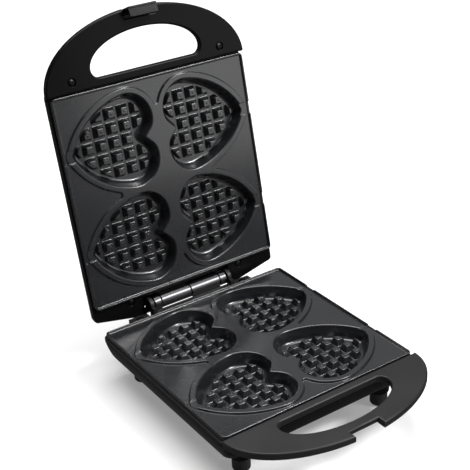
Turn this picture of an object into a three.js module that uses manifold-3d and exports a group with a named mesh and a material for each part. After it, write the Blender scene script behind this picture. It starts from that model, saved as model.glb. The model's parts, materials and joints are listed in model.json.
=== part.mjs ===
// Waffle stick maker: a hinged countertop iron with four heart moulds in each plate.
// Millimetres, +Z up. The handles point to -Y, the hinge lies at +Y, and the lid stands open.
// Both halves are drawn face up, with height 0 at the top of the plate's rim and the front at -Y.
// The lid half is then turned over and hung on the hinge.

import * as THREE from 'three';
import { mergeGeometries, mergeVertices } from 'three/addons/utils/BufferGeometryUtils.js';
import Module from 'manifold-3d';

const wasm = await Module();
wasm.setup();
const degrees = THREE.MathUtils.degToRad;

// Driving dimensions

const PLATE_SIZE = 192;            // side of the square plate
const PLATE_CORNER = 4;            // its corner radius
const PLATE_EDGE = 4.5;            // height of the plate's outer edge
const PLATE_GAP = 1;               // between the two rims when the lid is shut
const BODY_DEPTH = 31.4;           // from the rim down to the flat bottom of the base
const LID_DEPTH = 29;              // from the rim to the shoulder of the lid's outside
const FOOT_HEIGHT = 19.1;          // from the base's bottom down to the table
const OPEN_ANGLE = 100.68;         // lid, from shut to open, in degrees
const CLEARANCE = 0.3;             // between pieces that touch
const OVERRUN = 2;                 // how far a cutting solid passes the face it cuts

// Heart mould, in the plate's face: the tip points away from the plate's centre line

const HEART_MARGIN = 8.5;          // from the heart's tip to the plate's edge
const HEART_AXIS = 44.6;           // from the plate's centre to each heart's own axis
const LOBE_RADIUS = 24;
const LOBE_X = 29.7;
const LOBE_Y = 17.6;
const LOBE_END = degrees(81.5);    // where the lobe passes into the long side arc
const SIDE_RADIUS = 72;
const TIP_RADIUS = 5.7;
const NOTCH_ARC_RADIUS = 14;
const NOTCH_ARC_START = degrees(190);
const NOTCH_ARC_END = degrees(225);
const NOTCH_WEDGE_RADIUS = 1.2;
const MOULD_DEPTH = 12;
const MOULD_DRAFT = 3.4;           // how far the wall leans in from rim to floor
const MOULD_LIP = 0.9;             // bevel of the mould's upper edge
const MOULD_WALL = 2.4;            // thickness of the casting round each mould
const LAND_WIDTH = 4.8;            // raised land outside each mould
const LAND_HEIGHT = 2;             // of the land and the rim above the field
const LAND_DRAFT = 0.6;
const LAND_FILLET = 3;             // where the lands of two hearts meet
const RIM_WIDTH = 1.5;
const STICK_GROOVE_WIDTH = 11.4;
const STICK_GROOVE_DEPTH = 1.2;

// Pegs on the mould's floor, in rows along the heart's axis

const PEG_PITCH = 12.9;
const PEG_FIRST = 15.8;            // first column, from the plate's centre line
const PEG_BASE = 9;
const PEG_TOP = 6;
const PEG_HEIGHT = 5.5;
const PEG_MARGIN = 4.5;            // level strip between the wall's foot and the pegs
const PEG_COLUMNS = 6;
const PEG_ROWS_EACH_SIDE = 2;

// Housings: how far the outside stands off the plate's edge, and how it leans in below

const WALL = 2.4;
const LEDGE_DEPTH = 4.8;           // the ledge that carries the plate, below the rim
const LEDGE_THICKNESS = 3;
const LEDGE_SEAT = 4;              // how much of the plate lies on the ledge
const HOUSING_CORNER = 7;
const BASE_RIM_OUT = 1.6;
const FRAME_FRONT_OUT = 2.6;       // front of the rings that carry the plates
const FRONT_OUT = 7.2;             // front wall of both housings, under the handle
const BASE_REAR_OUT = 3.4;
const BASE_LEAN = 15;              // how far the flat bottom is set in from the top
const FRONT_CUT_BACK = 6.2;        // how much more the front wall leans in than the sides
const LID_RIM_OUT = 1.2;
const LID_LEAN = 18;
const LID_DOME = 1.6;              // rise of the lid's outside over its shoulder
const LID_DOME_INSET = 27;         // from the shoulder in to the flat middle of the lid's outside
const LID_REAR_CORNER = 12.3;      // lid behind the plate's rear edge, at its corners
const LID_REAR_MIDDLE = 21.6;      // the same beside the hinge
const LID_REAR_STRAIGHT = 5.4;     // straight part of the rear edge beside the hinge's gap
const LID_REAR_ROUND = 3.5;

// Vents in the base's bottom

const VENT_COUNT = 9;
const VENT_LENGTH = 34;
const VENT_WIDTH = 3;
const VENT_PITCH = 8;

// D-shaped handles

const HANDLE_OUT = 2.8;            // beyond the plate's edge at each side
const HANDLE_REACH = 60;           // from the plate's front edge to the middle of the grip's front
const HANDLE_SHOULDER = 1.2;         // straight part next to the plate
const HANDLE_FACE = 0.8;           // below the rim
const HANDLE_THICKNESS = 6.6;
const HANDLE_ROUND = 1.6;
const HANDLE_PLATE_GAP = 0.8;
const LID_FRAME_SKIN = 2.8;        // inner half of the lid's handle
const LID_SEAM = 0.4;
const SEAM_ROUND = 0.4;
const HAND_HALF_WIDTH = 54.5;
const HAND_NEAR = 8.5;             // near side of the hand opening, from the plate's front edge
const HAND_CORNER = 7.5;
const HAND_ARCH = 26;              // height of the arched side above the corners

// Latch

const LATCH_WIDTH = 28;
const LATCH_SIDE_GAP = 0.4;
const LATCH_NOTCH = 8.5;           // depth of the notch in the handle's front
const LATCH_SKIN = 2.6;
const LATCH_REACH = 7.2;           // below the lower rim, when shut
const HOOK_THICKNESS = 2;
const HOOK_BITE = 1.8;             // of the hook under the lower handle's lip
const HOOK_ROOM = 4;               // free space behind the hook's edge
const LIP_THICKNESS = 4.2;
const LATCH_PIN_RADIUS = 1.25;
const LATCH_PIN_OVERHANG = 3;
const LATCH_SWING = 12;            // clip swung out of its bite, in degrees

// Hinge

const HINGE_BACK = 12;             // axis behind the plate's rear edge
const HINGE_UP = 3.5;              // axis above the lower rim
const KNUCKLE_RADIUS = 6.2;
const PIN_RADIUS = 4;
const LEAF_THICKNESS = 1.5;
const LEAF_DROP = 16;              // how far a leaf runs from the axis into its housing
const LEAF_WEB = 8;                // height of the strip that joins a leaf's two knuckles
const LONG_KNUCKLE = 31;
const SHORT_KNUCKLE = 6.6;
const KNUCKLE_GAP = 0.9;
const EAR_THICKNESS = 4.2;
const EAR_RADIUS = 6.8;
const RECESS_GAP = 2.1;            // from the hinge's ears to the sides of the lid's gap for them
const STOP_HALF_WIDTH = 66;        // outer end of the pads that stop the lid
const STOP_GAP = 0.7;              // from the pads' rear face to the hinge axis, along Y
const STOP_TOP = 3.6;              // below the rim

// Feet

const FOOT_INSET = 23.8;           // from the plate's side edge
const FOOT_FRONT_INSET = 14.8;
const FOOT_REAR_INSET = 18;
const FOOT_RADIUS = 7.7;
const FOOT_PAD_RADIUS = 4.6;
const FOOT_BOSS_RADIUS = 9.6;
const FOOT_BOSS_TAPER = 0.6;
const FOOT_BOSS_HEIGHT = 5.5;
const FOOT_SEAT = 1.2;             // how far a foot enters the base's floor

// Heating and wiring inside

const ELEMENT_RADIUS = 3.2;
const REFLECTOR_THICKNESS = 0.8;
const REFLECTOR_INSET = 13;        // from the plate's edge
const REFLECTOR_FLANGE = 2.4;
const PLATE_BOSS_RADIUS = 4;
const PLATE_BOSS_INSET = 5;        // from the reflector's edge
const THERMOSTAT_RADIUS = 6.4;
const THERMOSTAT_HEIGHT = 5;
const THERMOSTAT_FLANGE = 25.6;    // length of its fixing flange
const THERMOSTAT_PLACE = 24;       // beside the plate's centre
const FUSE_RADIUS = 1.6;
const FUSE_LENGTH = 25.6;
const FUSE_LEAD = 3.2;             // length of each bare end
const TERMINAL_LENGTH = 30;
const TERMINAL_WIDTH = 15;
const TERMINAL_HEIGHT = 6.2;
const TERMINAL_INSET = 34;         // from the plate's rear edge
const TERMINAL_WAYS = 3;
const WIRE_RADIUS = 1.6;
const BUSH_RADIUS = 5;
const BUSH_LENGTH = 15;
const BUSH_INSET = 20;             // from the plate's side edge
const BUSH_DEPTH = 20;             // its axis below the rim
const LENS_SPACING = 18;
const LENS_RADIUS = 4;
const LENS_INSET = 36;             // from the plate's front edge
const LENS_PROUD = 1.2;
const LENS_COLLAR = 1.2;
const LAMP_RADIUS = 2.2;
const LAMP_LENGTH = 2.2;

// Screws

const SCREW_RADIUS = 1.6;
const SCREW_HEAD_RADIUS = 3.2;
const SCREW_HEAD_HEIGHT = 1.8;
const SCREW_SINK = 1.4;            // depth of a screw's counterbore
const SCREW_BITE = 8;              // of a screw in its boss
const BOSS_RADIUS = 4.4;
const BOSS_LENGTH = 11;
const LID_SCREW_OUT = 7;           // beyond the straight part of the lid's rear edge
const LID_SCREW_BACK = 4.5;        // behind the plate's rear edge
const HANDLE_SCREW_INSET = 24.8;   // from the handle's side
const HANDLE_SCREW_FRONT = 9.8;    // in front of the plate's front edge

// Roundness: facets used for the curved forms

const ROUND_SIDES = 12;
const SMALL_SIDES = 6;
const ELLIPSE_STEPS = 22;
const ELEMENT_STEPS = 24;
const CORNER_STEPS = 3;
const ARC_STEP = Math.PI / 8;
const FILLET_STEP = 0.8;

// Derived places

const HALF = PLATE_SIZE / 2;
const POD_DEPTH = MOULD_DEPTH + MOULD_WALL;
const ELEMENT_DEPTH = POD_DEPTH + CLEARANCE + ELEMENT_RADIUS;
const REFLECTOR_DEPTH = ELEMENT_DEPTH + ELEMENT_RADIUS + CLEARANCE;
const REFLECTOR_BACK = REFLECTOR_DEPTH + REFLECTOR_THICKNESS;
const REFLECTOR_HALF = HALF - REFLECTOR_INSET;
const PLATE_BOSS_PLACE = REFLECTOR_HALF - PLATE_BOSS_INSET;
const TERMINAL_PLACE = HALF - TERMINAL_INSET;
const BUSH_X = HALF - BUSH_INSET;
const LENS_Y = LENS_INSET - HALF;
const BASE_RIM_HEIGHT = BODY_DEPTH + FOOT_HEIGHT;
const RING_BOTTOM = LEDGE_DEPTH + LEDGE_THICKNESS;
const HANDLE_HALF_WIDTH = HALF + HANDLE_OUT;
const HANDLE_BACK = HANDLE_FACE + HANDLE_THICKNESS;
const LATCH_NOTCH_Y = -(HALF + HANDLE_REACH - LATCH_NOTCH);
const LATCH_PIN_Y = LATCH_NOTCH_Y - LATCH_NOTCH / 2;
const LATCH_PIN_Z = -HANDLE_FACE - HANDLE_THICKNESS / 2;
const HINGE_Y = HALF + HINGE_BACK;
const HINGE_UP_IN_LID = HINGE_UP - PLATE_GAP;        // axis above the upper rim, lid shut
const HINGE_WALL_REAR = HINGE_Y - KNUCKLE_RADIUS - CLEARANCE;
const EAR_START = LONG_KNUCKLE + SHORT_KNUCKLE + 3 * KNUCKLE_GAP;
const EAR_END = EAR_START + EAR_THICKNESS;
const RECESS_HALF_WIDTH = EAR_END + RECESS_GAP;
const LID_REAR_SHOULDER = RECESS_HALF_WIDTH + LID_REAR_STRAIGHT;
const STOP_START = RECESS_HALF_WIDTH + CLEARANCE;

// Places of the pieces that are repeated

const cornerNames = ['front_left', 'front_right', 'rear_left', 'rear_right'];
const cornerSigns = [[-1, -1], [1, -1], [-1, 1], [1, 1]];
const bossPlaces = cornerSigns.map(([sx, sy]) => [sx * PLATE_BOSS_PLACE, sy * PLATE_BOSS_PLACE]);
const footPlaces = cornerSigns.map(([sx, sy]) => (
  [sx * (HALF - FOOT_INSET), sy * (HALF - (sy < 0 ? FOOT_FRONT_INSET : FOOT_REAR_INSET))]
));
const stopScrewPlaces = [-1, 1].map((side) => (
  [side * (STOP_START + STOP_HALF_WIDTH) / 2, HALF + BASE_REAR_OUT + SCREW_HEAD_RADIUS]
));
const lensPlaces = [-LENS_SPACING / 2, LENS_SPACING / 2];
const lidScrewPlaces = [-1, 1].map((side) => (
  [side * (LID_REAR_SHOULDER + LID_SCREW_OUT), HALF + LID_SCREW_BACK]
));
const handleScrewPlaces = [-1, 1].map((side) => (
  [side * (HANDLE_HALF_WIDTH - HANDLE_SCREW_INSET), -(HALF + HANDLE_SCREW_FRONT)]
));

// Materials

const blackPlastic = new THREE.MeshStandardMaterial({ color: 0x1c1c1e, roughness: 0.5, metalness: 0 });
const greyPlastic = new THREE.MeshStandardMaterial({ color: 0x3a3a3c, roughness: 0.55, metalness: 0 });
const nonStick = new THREE.MeshStandardMaterial({ color: 0x45474a, roughness: 0.4, metalness: 0.6 });
const hingeSteel = new THREE.MeshStandardMaterial({ color: 0x6c6c6e, roughness: 0.35, metalness: 1 });
const brightSteel = new THREE.MeshStandardMaterial({ color: 0xb4b4b2, roughness: 0.35, metalness: 1 });
const rubber = new THREE.MeshStandardMaterial({ color: 0x1a1a1a, roughness: 0.85, metalness: 0 });
const ceramic = new THREE.MeshStandardMaterial({ color: 0xe6e1d6, roughness: 0.6, metalness: 0 });
const redLens = new THREE.MeshStandardMaterial({ color: 0xa51d16, roughness: 0.2, metalness: 0 });
const greenLens = new THREE.MeshStandardMaterial({ color: 0x1f7a36, roughness: 0.2, metalness: 0 });
const glass = new THREE.MeshStandardMaterial({ color: 0xd8dcd8, roughness: 0.1, metalness: 0 });

// Solids and booleans

function solid(geometry) {
  const bare = geometry.index ? geometry.toNonIndexed() : geometry.clone();
  bare.deleteAttribute('normal');
  if (bare.hasAttribute('uv')) bare.deleteAttribute('uv');
  const merged = mergeVertices(bare);
  return new wasm.Manifold(new wasm.Mesh({
    numProp: 3,
    vertProperties: new Float32Array(merged.attributes.position.array),
    triVerts: new Uint32Array(merged.index.array),
  }));
}

function geometryOf(manifold) {
  const mesh = manifold.getMesh();
  const geometry = new THREE.BufferGeometry();
  geometry.setAttribute('position', new THREE.BufferAttribute(new Float32Array(mesh.vertProperties), 3));
  geometry.setIndex(new THREE.BufferAttribute(new Uint32Array(mesh.triVerts), 1));
  const flat = geometry.toNonIndexed();
  flat.computeVertexNormals();
  return flat;
}

const join = (...solids) => solids.reduce((whole, next) => whole.add(next));
const cut = (whole, ...tools) => tools.reduce((rest, tool) => rest.subtract(tool), whole);

// Straight-sided solid with the given outline, between two heights
function slab(points, bottom, top) {
  const settings = { depth: top - bottom, bevelEnabled: false };
  return solid(new THREE.ExtrudeGeometry(new THREE.Shape(points), settings).translate(0, 0, bottom));
}

const ring = (height, points) => ({ height, points });

// Closed solid through a stack of rings, from the lowest up, each a list of points at a height
function loft(rings) {
  const count = rings[0].points.length;
  const positions = rings.flatMap(({ height, points }) => points.flatMap((p) => [p.x, p.y, height]));
  const index = [];
  for (let level = 0; level + 1 < rings.length; level += 1) {
    for (let i = 0; i < count; i += 1) {
      const a = level * count + i;
      const b = level * count + (i + 1) % count;
      index.push(a, b, b + count, a, b + count, a + count);
    }
  }
  const last = (rings.length - 1) * count;
  for (const [a, b, c] of THREE.ShapeUtils.triangulateShape(rings[0].points, [])) index.push(c, b, a);
  for (const [a, b, c] of THREE.ShapeUtils.triangulateShape(rings.at(-1).points, [])) {
    index.push(last + a, last + b, last + c);
  }
  const geometry = new THREE.BufferGeometry();
  geometry.setAttribute('position', new THREE.Float32BufferAttribute(positions, 3));
  geometry.setIndex(index);
  return solid(geometry.toNonIndexed());
}

// How a rounded edge runs: pairs of inset and depth below the flat face, from the face to the side
function edgeRound(radius) {
  const steps = Math.max(1, Math.round(radius / FILLET_STEP));
  return Array.from({ length: steps + 1 }, (_, i) => {
    const angle = (Math.PI / 2) * (i / steps);
    return { inset: radius * (1 - Math.sin(angle)), depth: radius * (1 - Math.cos(angle)) };
  });
}

// Slab with rounded lower and upper edges; pointsAt gives its outline for an inset
function roundedSlab(pointsAt, bottom, top, roundBelow, roundAbove) {
  const below = edgeRound(roundBelow).map(({ inset, depth }) => ring(bottom + depth, pointsAt(inset)));
  const above = edgeRound(roundAbove).map(({ inset, depth }) => ring(top - depth, pointsAt(inset)));
  return loft([...below, ...above.reverse()]);
}

function cylinder(radius, bottom, top, x, y, sides = ROUND_SIDES, topRadius = radius) {
  const geometry = new THREE.CylinderGeometry(topRadius, radius, top - bottom, sides);
  return solid(geometry.rotateX(Math.PI / 2).translate(x, y, (bottom + top) / 2));
}

// Cylinder along X
function rod(radius, left, right, y, z, sides = ROUND_SIDES) {
  const geometry = new THREE.CylinderGeometry(radius, radius, right - left, sides);
  return solid(geometry.rotateZ(Math.PI / 2).translate((left + right) / 2, y, z));
}

// Cylinder along Y
function plug(radius, front, rear, x, z, sides = ROUND_SIDES) {
  const geometry = new THREE.CylinderGeometry(radius, radius, rear - front, sides);
  return solid(geometry.translate(x, (front + rear) / 2, z));
}

function block(left, right, front, rear, bottom, top) {
  const geometry = new THREE.BoxGeometry(right - left, rear - front, top - bottom);
  return solid(geometry.translate((left + right) / 2, (front + rear) / 2, (bottom + top) / 2));
}

// Solid turned about a vertical axis, from a closed profile of [radius, height] pairs
function turned(profile, x, y, sides) {
  const geometry = new THREE.LatheGeometry(profile.map(([r, z]) => new THREE.Vector2(r, z)), sides);
  return solid(geometry.rotateX(Math.PI / 2).translate(x, y, 0));
}

// Outlines

const point = (x, y) => new THREE.Vector2(x, y);
const mirroredY = (points) => points.map((p) => point(p.x, -p.y)).reverse();
const mirroredX = (points) => points.map((p) => point(-p.x, p.y)).reverse();

// Points on an arc, without its end; the step count follows the angle
function arc(cx, cy, radius, from, to, step = ARC_STEP) {
  const count = Math.max(1, Math.round(Math.abs(to - from) / step));
  return Array.from({ length: count }, (_, i) => {
    const angle = from + (to - from) * i / count;
    return point(cx + radius * Math.cos(angle), cy + radius * Math.sin(angle));
  });
}

// Rectangle with round corners, anticlockwise from the front right
function roundedRectangle(halfWidth, front, rear, radius) {
  const right = halfWidth - radius;
  const low = front + radius;
  const high = rear - radius;
  const turn = Math.PI / 2;
  const corners = [[right, low, -turn], [right, high, 0], [-right, high, turn], [-right, low, 2 * turn]];
  return corners.flatMap(([x, y, start]) => [
    ...arc(x, y, radius, start, start + turn, turn / CORNER_STEPS),
    point(x + radius * Math.cos(start + turn), y + radius * Math.sin(start + turn)),
  ]);
}

// The heart is drawn about its own axis, tip to +X. Every arc keeps its centre and its angles
// when the outline is offset, so offset outlines have matching points.
const sideCentre = point(
  LOBE_X - (SIDE_RADIUS - LOBE_RADIUS) * Math.cos(LOBE_END),
  LOBE_Y - (SIDE_RADIUS - LOBE_RADIUS) * Math.sin(LOBE_END),
);
const notchCentre = point(
  LOBE_X + (LOBE_RADIUS - NOTCH_ARC_RADIUS) * Math.cos(NOTCH_ARC_START),
  LOBE_Y + (LOBE_RADIUS - NOTCH_ARC_RADIUS) * Math.sin(NOTCH_ARC_START),
);
const tipX = sideCentre.x + Math.sqrt((SIDE_RADIUS - TIP_RADIUS) ** 2 - sideCentre.y ** 2);
const tipAngle = Math.atan2(-sideCentre.y, tipX - sideCentre.x);

// The arcs' sizes are scaled together, so that the tip keeps its margin from the plate's edge
const heartScale = (HALF - HEART_MARGIN) / (tipX + TIP_RADIUS);
const heartAxis = HEART_AXIS * heartScale;
const scaled = (points) => points.map((p) => p.multiplyScalar(heartScale));

// Upper half of the heart, from the notch round to the tip, then mirrored. Between the notch's
// arc and the small round at its bottom the outline is straight. Deep inside, the tip is sharp.
function heartOutline(distance) {
  const offset = distance / heartScale;
  const tip = Math.max(TIP_RADIUS + offset, NOTCH_WEDGE_RADIUS / 4);
  const tipCentre = sideCentre.x + Math.sqrt((SIDE_RADIUS + offset - tip) ** 2 - sideCentre.y ** 2);
  const tipTurn = Math.atan2(-sideCentre.y, tipCentre - sideCentre.x);
  const wedge = Math.max(NOTCH_WEDGE_RADIUS - offset, NOTCH_WEDGE_RADIUS / 4);
  const reach = NOTCH_ARC_RADIUS + offset + wedge + notchCentre.y * Math.sin(NOTCH_ARC_END);
  const wedgeX = notchCentre.x + reach / Math.cos(NOTCH_ARC_END);
  const notchRadius = NOTCH_ARC_RADIUS + offset;
  const upper = [
    point(wedgeX - wedge * Math.cos(NOTCH_ARC_END), -wedge * Math.sin(NOTCH_ARC_END)),
    ...arc(notchCentre.x, notchCentre.y, notchRadius, NOTCH_ARC_END, NOTCH_ARC_START),
    ...arc(LOBE_X, LOBE_Y, LOBE_RADIUS + offset, NOTCH_ARC_START, LOBE_END),
    ...arc(sideCentre.x, sideCentre.y, SIDE_RADIUS + offset, LOBE_END, tipTurn, ARC_STEP / 2),
    ...arc(tipCentre, 0, tip, tipTurn, 0, tipTurn / 2),
  ];
  const lower = upper.map((p) => point(p.x, -p.y));
  return scaled([point(wedgeX + wedge, 0), ...lower, point(tipCentre + tip, 0), ...upper.reverse()]);
}

function isInside(points, x, y) {
  return points.reduce((odd, p, i) => {
    const q = points[(i + 1) % points.length];
    const crosses = (p.y > y) !== (q.y > y) && x < p.x + (q.x - p.x) * (y - p.y) / (q.y - p.y);
    return crosses ? !odd : odd;
  }, false);
}

// Outline of the raised land round all four hearts: arcs of the offset hearts, with a fillet
// where two hearts meet. One quarter is worked out and mirrored.
function landOutline(distance) {
  const offset = distance / heartScale;
  const lobe = LOBE_RADIUS + offset;
  const side = SIDE_RADIUS + offset;
  const fillet = (LAND_FILLET + LAND_WIDTH - distance) / heartScale;
  const lobeY = HEART_AXIS + LOBE_Y;
  const frontY = lobeY + Math.sqrt((lobe + fillet) ** 2 - LOBE_X ** 2);
  const frontAngle = Math.atan2(frontY - lobeY, -LOBE_X);
  const outerY = HEART_AXIS + sideCentre.y;
  const innerY = HEART_AXIS - sideCentre.y;
  const sideX = sideCentre.x + Math.sqrt((side + fillet) ** 2 - innerY ** 2);
  const sideAngle = Math.atan2(innerY, sideX - sideCentre.x);
  const quarter = [
    ...arc(sideX, 0, fillet, Math.PI, Math.PI - sideAngle).slice(1),
    ...arc(sideCentre.x, innerY, side, -sideAngle, -tipAngle, ARC_STEP / 2),
    ...arc(tipX, HEART_AXIS, TIP_RADIUS + offset, -tipAngle, tipAngle, tipAngle / 2),
    ...arc(sideCentre.x, outerY, side, tipAngle, LOBE_END, ARC_STEP / 2),
    ...arc(LOBE_X, lobeY, lobe, LOBE_END, frontAngle),
    ...arc(0, frontY, fillet, frontAngle - Math.PI, -Math.PI / 2),
  ];
  const rear = [...quarter, point(0, frontY - fillet), ...mirroredX(quarter)];
  return scaled([point(sideX - fillet, 0), ...rear, point(fillet - sideX, 0), ...mirroredY(rear)]);
}

// Points on half an ellipse, from its left end round the front to just before its right end
function frontHalfEllipse(cy, a, b) {
  return Array.from({ length: ELLIPSE_STEPS }, (_, i) => {
    const angle = Math.PI * (1 + i / ELLIPSE_STEPS);
    return point(a * Math.cos(angle), cy + b * Math.sin(angle));
  });
}

// D-shaped handle, standing off the front of the plate; inset draws it smaller all round
function handleOutline(inset) {
  const near = -(HALF + HANDLE_PLATE_GAP);
  const a = HANDLE_HALF_WIDTH - inset;
  const b = HANDLE_REACH - HANDLE_SHOULDER - inset;
  const shoulder = -(HALF + HANDLE_SHOULDER);
  return [point(a, near), point(-a, near), ...frontHalfEllipse(shoulder, a, b), point(a, shoulder)];
}

// Hand opening: straight near side, round corners, arched far side
function handOpening() {
  const archY = -(HALF + HAND_NEAR + HAND_CORNER);
  const corner = HAND_HALF_WIDTH - HAND_CORNER;
  return [
    ...arc(corner, archY, HAND_CORNER, 0, Math.PI / 2),
    point(corner, archY + HAND_CORNER),
    ...arc(-corner, archY, HAND_CORNER, Math.PI / 2, Math.PI),
    ...frontHalfEllipse(archY, HAND_HALF_WIDTH, HAND_ARCH),
  ];
}

// Screws and what takes them

// Screw with a tapered head: its seat at a height, its shank up (1) or down (-1) from there
function screw(x, y, seat, length, way) {
  const headRoot = way < 0 ? seat : seat - SCREW_HEAD_HEIGHT;
  const [low, high] = way < 0 ? [SCREW_HEAD_RADIUS, SCREW_RADIUS] : [SCREW_RADIUS, SCREW_HEAD_RADIUS];
  const middle = seat - way * SCREW_HEAD_HEIGHT / 2;
  const [bottom, top] = way < 0 ? [seat - length, middle] : [middle, seat + length];
  return join(
    cylinder(low, headRoot, headRoot + SCREW_HEAD_HEIGHT, x, y, SMALL_SIDES, high),
    cylinder(SCREW_RADIUS, bottom, top, x, y, SMALL_SIDES),
  );
}

const screwHole = (x, y, bottom, top) => (
  cylinder(SCREW_RADIUS + CLEARANCE, bottom, top, x, y, SMALL_SIDES)
);
const screwSink = (x, y, bottom, top) => (
  cylinder(SCREW_HEAD_RADIUS + CLEARANCE, bottom, top, x, y, SMALL_SIDES)
);

// Cast plate

function placedHeart(offset, [sx, sy]) {
  return heartOutline(offset).map((p) => point(sx * p.x, sx * p.y + sy * heartAxis));
}

// Solid whose section is the heart, through pairs of outline offset and height
function heartLoft(profile, place) {
  return loft(profile.map(([offset, height]) => ring(height, placedHeart(offset, place))));
}

// Square tapered pegs on the floor of one mould, cut off along the wall at an even margin. A peg
// stands wherever at least its middle lies within a quarter of its width of that margin.
function pegs(place) {
  const [sx, sy] = place;
  const margin = -(MOULD_DRAFT + PEG_MARGIN);
  const reach = heartOutline(margin + PEG_BASE / 4);
  const rowCount = 2 * PEG_ROWS_EACH_SIDE + 1;
  const rows = Array.from({ length: rowCount }, (_, i) => (i - PEG_ROWS_EACH_SIDE) * PEG_PITCH);
  const columns = Array.from({ length: PEG_COLUMNS }, (_, i) => PEG_FIRST + i * PEG_PITCH);
  const places = rows.flatMap((y) => columns.map((x) => [x, y])).filter(([x, y]) => isInside(reach, x, y));
  const lean = (PEG_BASE - PEG_TOP) / 2;
  const buried = PEG_BASE + 2 * lean;          // width one peg height below the mould's floor
  const whole = solid(mergeGeometries(places.map(([x, y]) => {
    const peg = new THREE.CylinderGeometry(PEG_TOP * Math.SQRT1_2, buried * Math.SQRT1_2, 2 * PEG_HEIGHT, 4);
    peg.rotateY(Math.PI / 4).rotateX(Math.PI / 2);
    return peg.translate(sx * x, sy * heartAxis + y, -MOULD_DEPTH);
  })));
  return whole.intersect(heartLoft([
    [margin + 2 * lean, -MOULD_DEPTH - 2 * PEG_HEIGHT],
    [margin - 2 * lean, -MOULD_DEPTH + 2 * PEG_HEIGHT],
  ], place));
}

// Groove for the stick, from the heart's tip out over the plate's edge
function stickGroove([sx, sy]) {
  const tip = (tipX - TIP_RADIUS) * heartScale;
  const ends = [sx * tip, sx * (HALF + OVERRUN)].sort((a, b) => a - b);
  const middle = sy * heartAxis;
  return block(...ends, middle - STICK_GROOVE_WIDTH / 2, middle + STICK_GROOVE_WIDTH / 2,
    -STICK_GROOVE_DEPTH, OVERRUN);
}

// The field between the rim and the raised land
function fieldCut() {
  const inner = HALF - RIM_WIDTH;
  const floor = inner - LAND_DRAFT;
  const top = roundedRectangle(inner, -inner, inner, PLATE_CORNER / 2);
  const bottom = roundedRectangle(floor, -floor, floor, PLATE_CORNER / 2);
  const pocket = loft([ring(-LAND_HEIGHT, bottom), ring(0, top), ring(OVERRUN, top)]);
  const land = loft([
    ring(-LAND_HEIGHT - OVERRUN, landOutline(LAND_WIDTH + LAND_DRAFT)),
    ring(-LAND_HEIGHT, landOutline(LAND_WIDTH + LAND_DRAFT)),
    ring(0, landOutline(LAND_WIDTH)),
    ring(2 * OVERRUN, landOutline(LAND_WIDTH)),
  ]);
  return pocket.subtract(land);
}

function castPlate() {
  let plate = slab(roundedRectangle(HALF, -HALF, HALF, PLATE_CORNER), -PLATE_EDGE, 0);
  for (const place of cornerSigns) {
    plate = plate.add(heartLoft([
      [MOULD_WALL - MOULD_DRAFT, -POD_DEPTH],
      [MOULD_WALL, CLEARANCE - PLATE_EDGE],
    ], place));
  }
  for (const [x, y] of bossPlaces) {
    plate = plate.add(cylinder(
      PLATE_BOSS_RADIUS, -REFLECTOR_DEPTH + CLEARANCE, CLEARANCE - PLATE_EDGE, x, y, SMALL_SIDES,
    ));
  }
  plate = plate.subtract(fieldCut());
  for (const place of cornerSigns) {
    const cavity = heartLoft([
      [-MOULD_DRAFT, -MOULD_DEPTH],
      [-MOULD_LIP / 2, -MOULD_LIP],
      [MOULD_LIP / 2, 0],
      [MOULD_LIP / 2, OVERRUN],
    ], place);
    plate = cut(plate, cavity.subtract(pegs(place)), stickGroove(place));
  }
  return cut(plate, ...bossPlaces.map(([x, y]) => (
    screwHole(x, y, -REFLECTOR_DEPTH - OVERRUN, -PLATE_EDGE - CLEARANCE)
  )));
}

// Pieces on the back of a plate

// Route of the heating tube: a round loop under the hearts, its two ends side by side at the
// rear. Shares of the reflector's half width, for the right half from front to rear.
const routeShares = [
  [0.3, -0.7], [0.6, -0.64], [0.7, -0.4], [0.7, 0], [0.7, 0.4], [0.62, 0.66], [0.3, 0.72],
  [0.14, 0.8], [0.12, 0.97],
];

function element() {
  const right = routeShares.map(([x, y]) => new THREE.Vector3(x * REFLECTOR_HALF, y * REFLECTOR_HALF, 0));
  const left = right.map((p) => new THREE.Vector3(-p.x, p.y, 0)).reverse();
  const route = new THREE.CatmullRomCurve3([...left, ...right], false, 'centripetal');
  const section = new THREE.Shape(arc(0, 0, ELEMENT_RADIUS, 0, 2 * Math.PI, Math.PI / 3));
  const settings = { steps: ELEMENT_STEPS, bevelEnabled: false, extrudePath: route };
  return solid(new THREE.ExtrudeGeometry(section, settings).translate(0, 0, -ELEMENT_DEPTH));
}

// Reflector: a thin sheet under the heating tube, its edge folded back
function reflector() {
  const outer = roundedRectangle(REFLECTOR_HALF, -REFLECTOR_HALF, REFLECTOR_HALF, PLATE_CORNER);
  const innerHalf = REFLECTOR_HALF - REFLECTOR_THICKNESS;
  const inner = roundedRectangle(innerHalf, -innerHalf, innerHalf, PLATE_CORNER - REFLECTOR_THICKNESS);
  const edge = -REFLECTOR_DEPTH - REFLECTOR_FLANGE;
  const holes = bossPlaces.map(([x, y]) => screwHole(x, y, edge, -REFLECTOR_DEPTH + OVERRUN));
  return cut(slab(outer, edge, -REFLECTOR_DEPTH), slab(inner, edge - OVERRUN, -REFLECTOR_BACK), ...holes);
}

// Screw through the reflector into the plate's boss
function plateScrew([x, y]) {
  const seat = -REFLECTOR_BACK - CLEARANCE;
  return screw(x, y, seat, -PLATE_EDGE - 2 * CLEARANCE - seat, 1);
}

// Disc thermostat: round body with a flange, under the reflector
function thermostat(x) {
  const top = -REFLECTOR_BACK - CLEARANCE;
  const half = THERMOSTAT_FLANGE / 2;
  return join(
    cylinder(THERMOSTAT_RADIUS, top - THERMOSTAT_HEIGHT, top, x, 0, ROUND_SIDES),
    block(x - half, x + half, -THERMOSTAT_RADIUS / 2, THERMOSTAT_RADIUS / 2,
      top - REFLECTOR_THICKNESS, top),
  );
}

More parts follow.
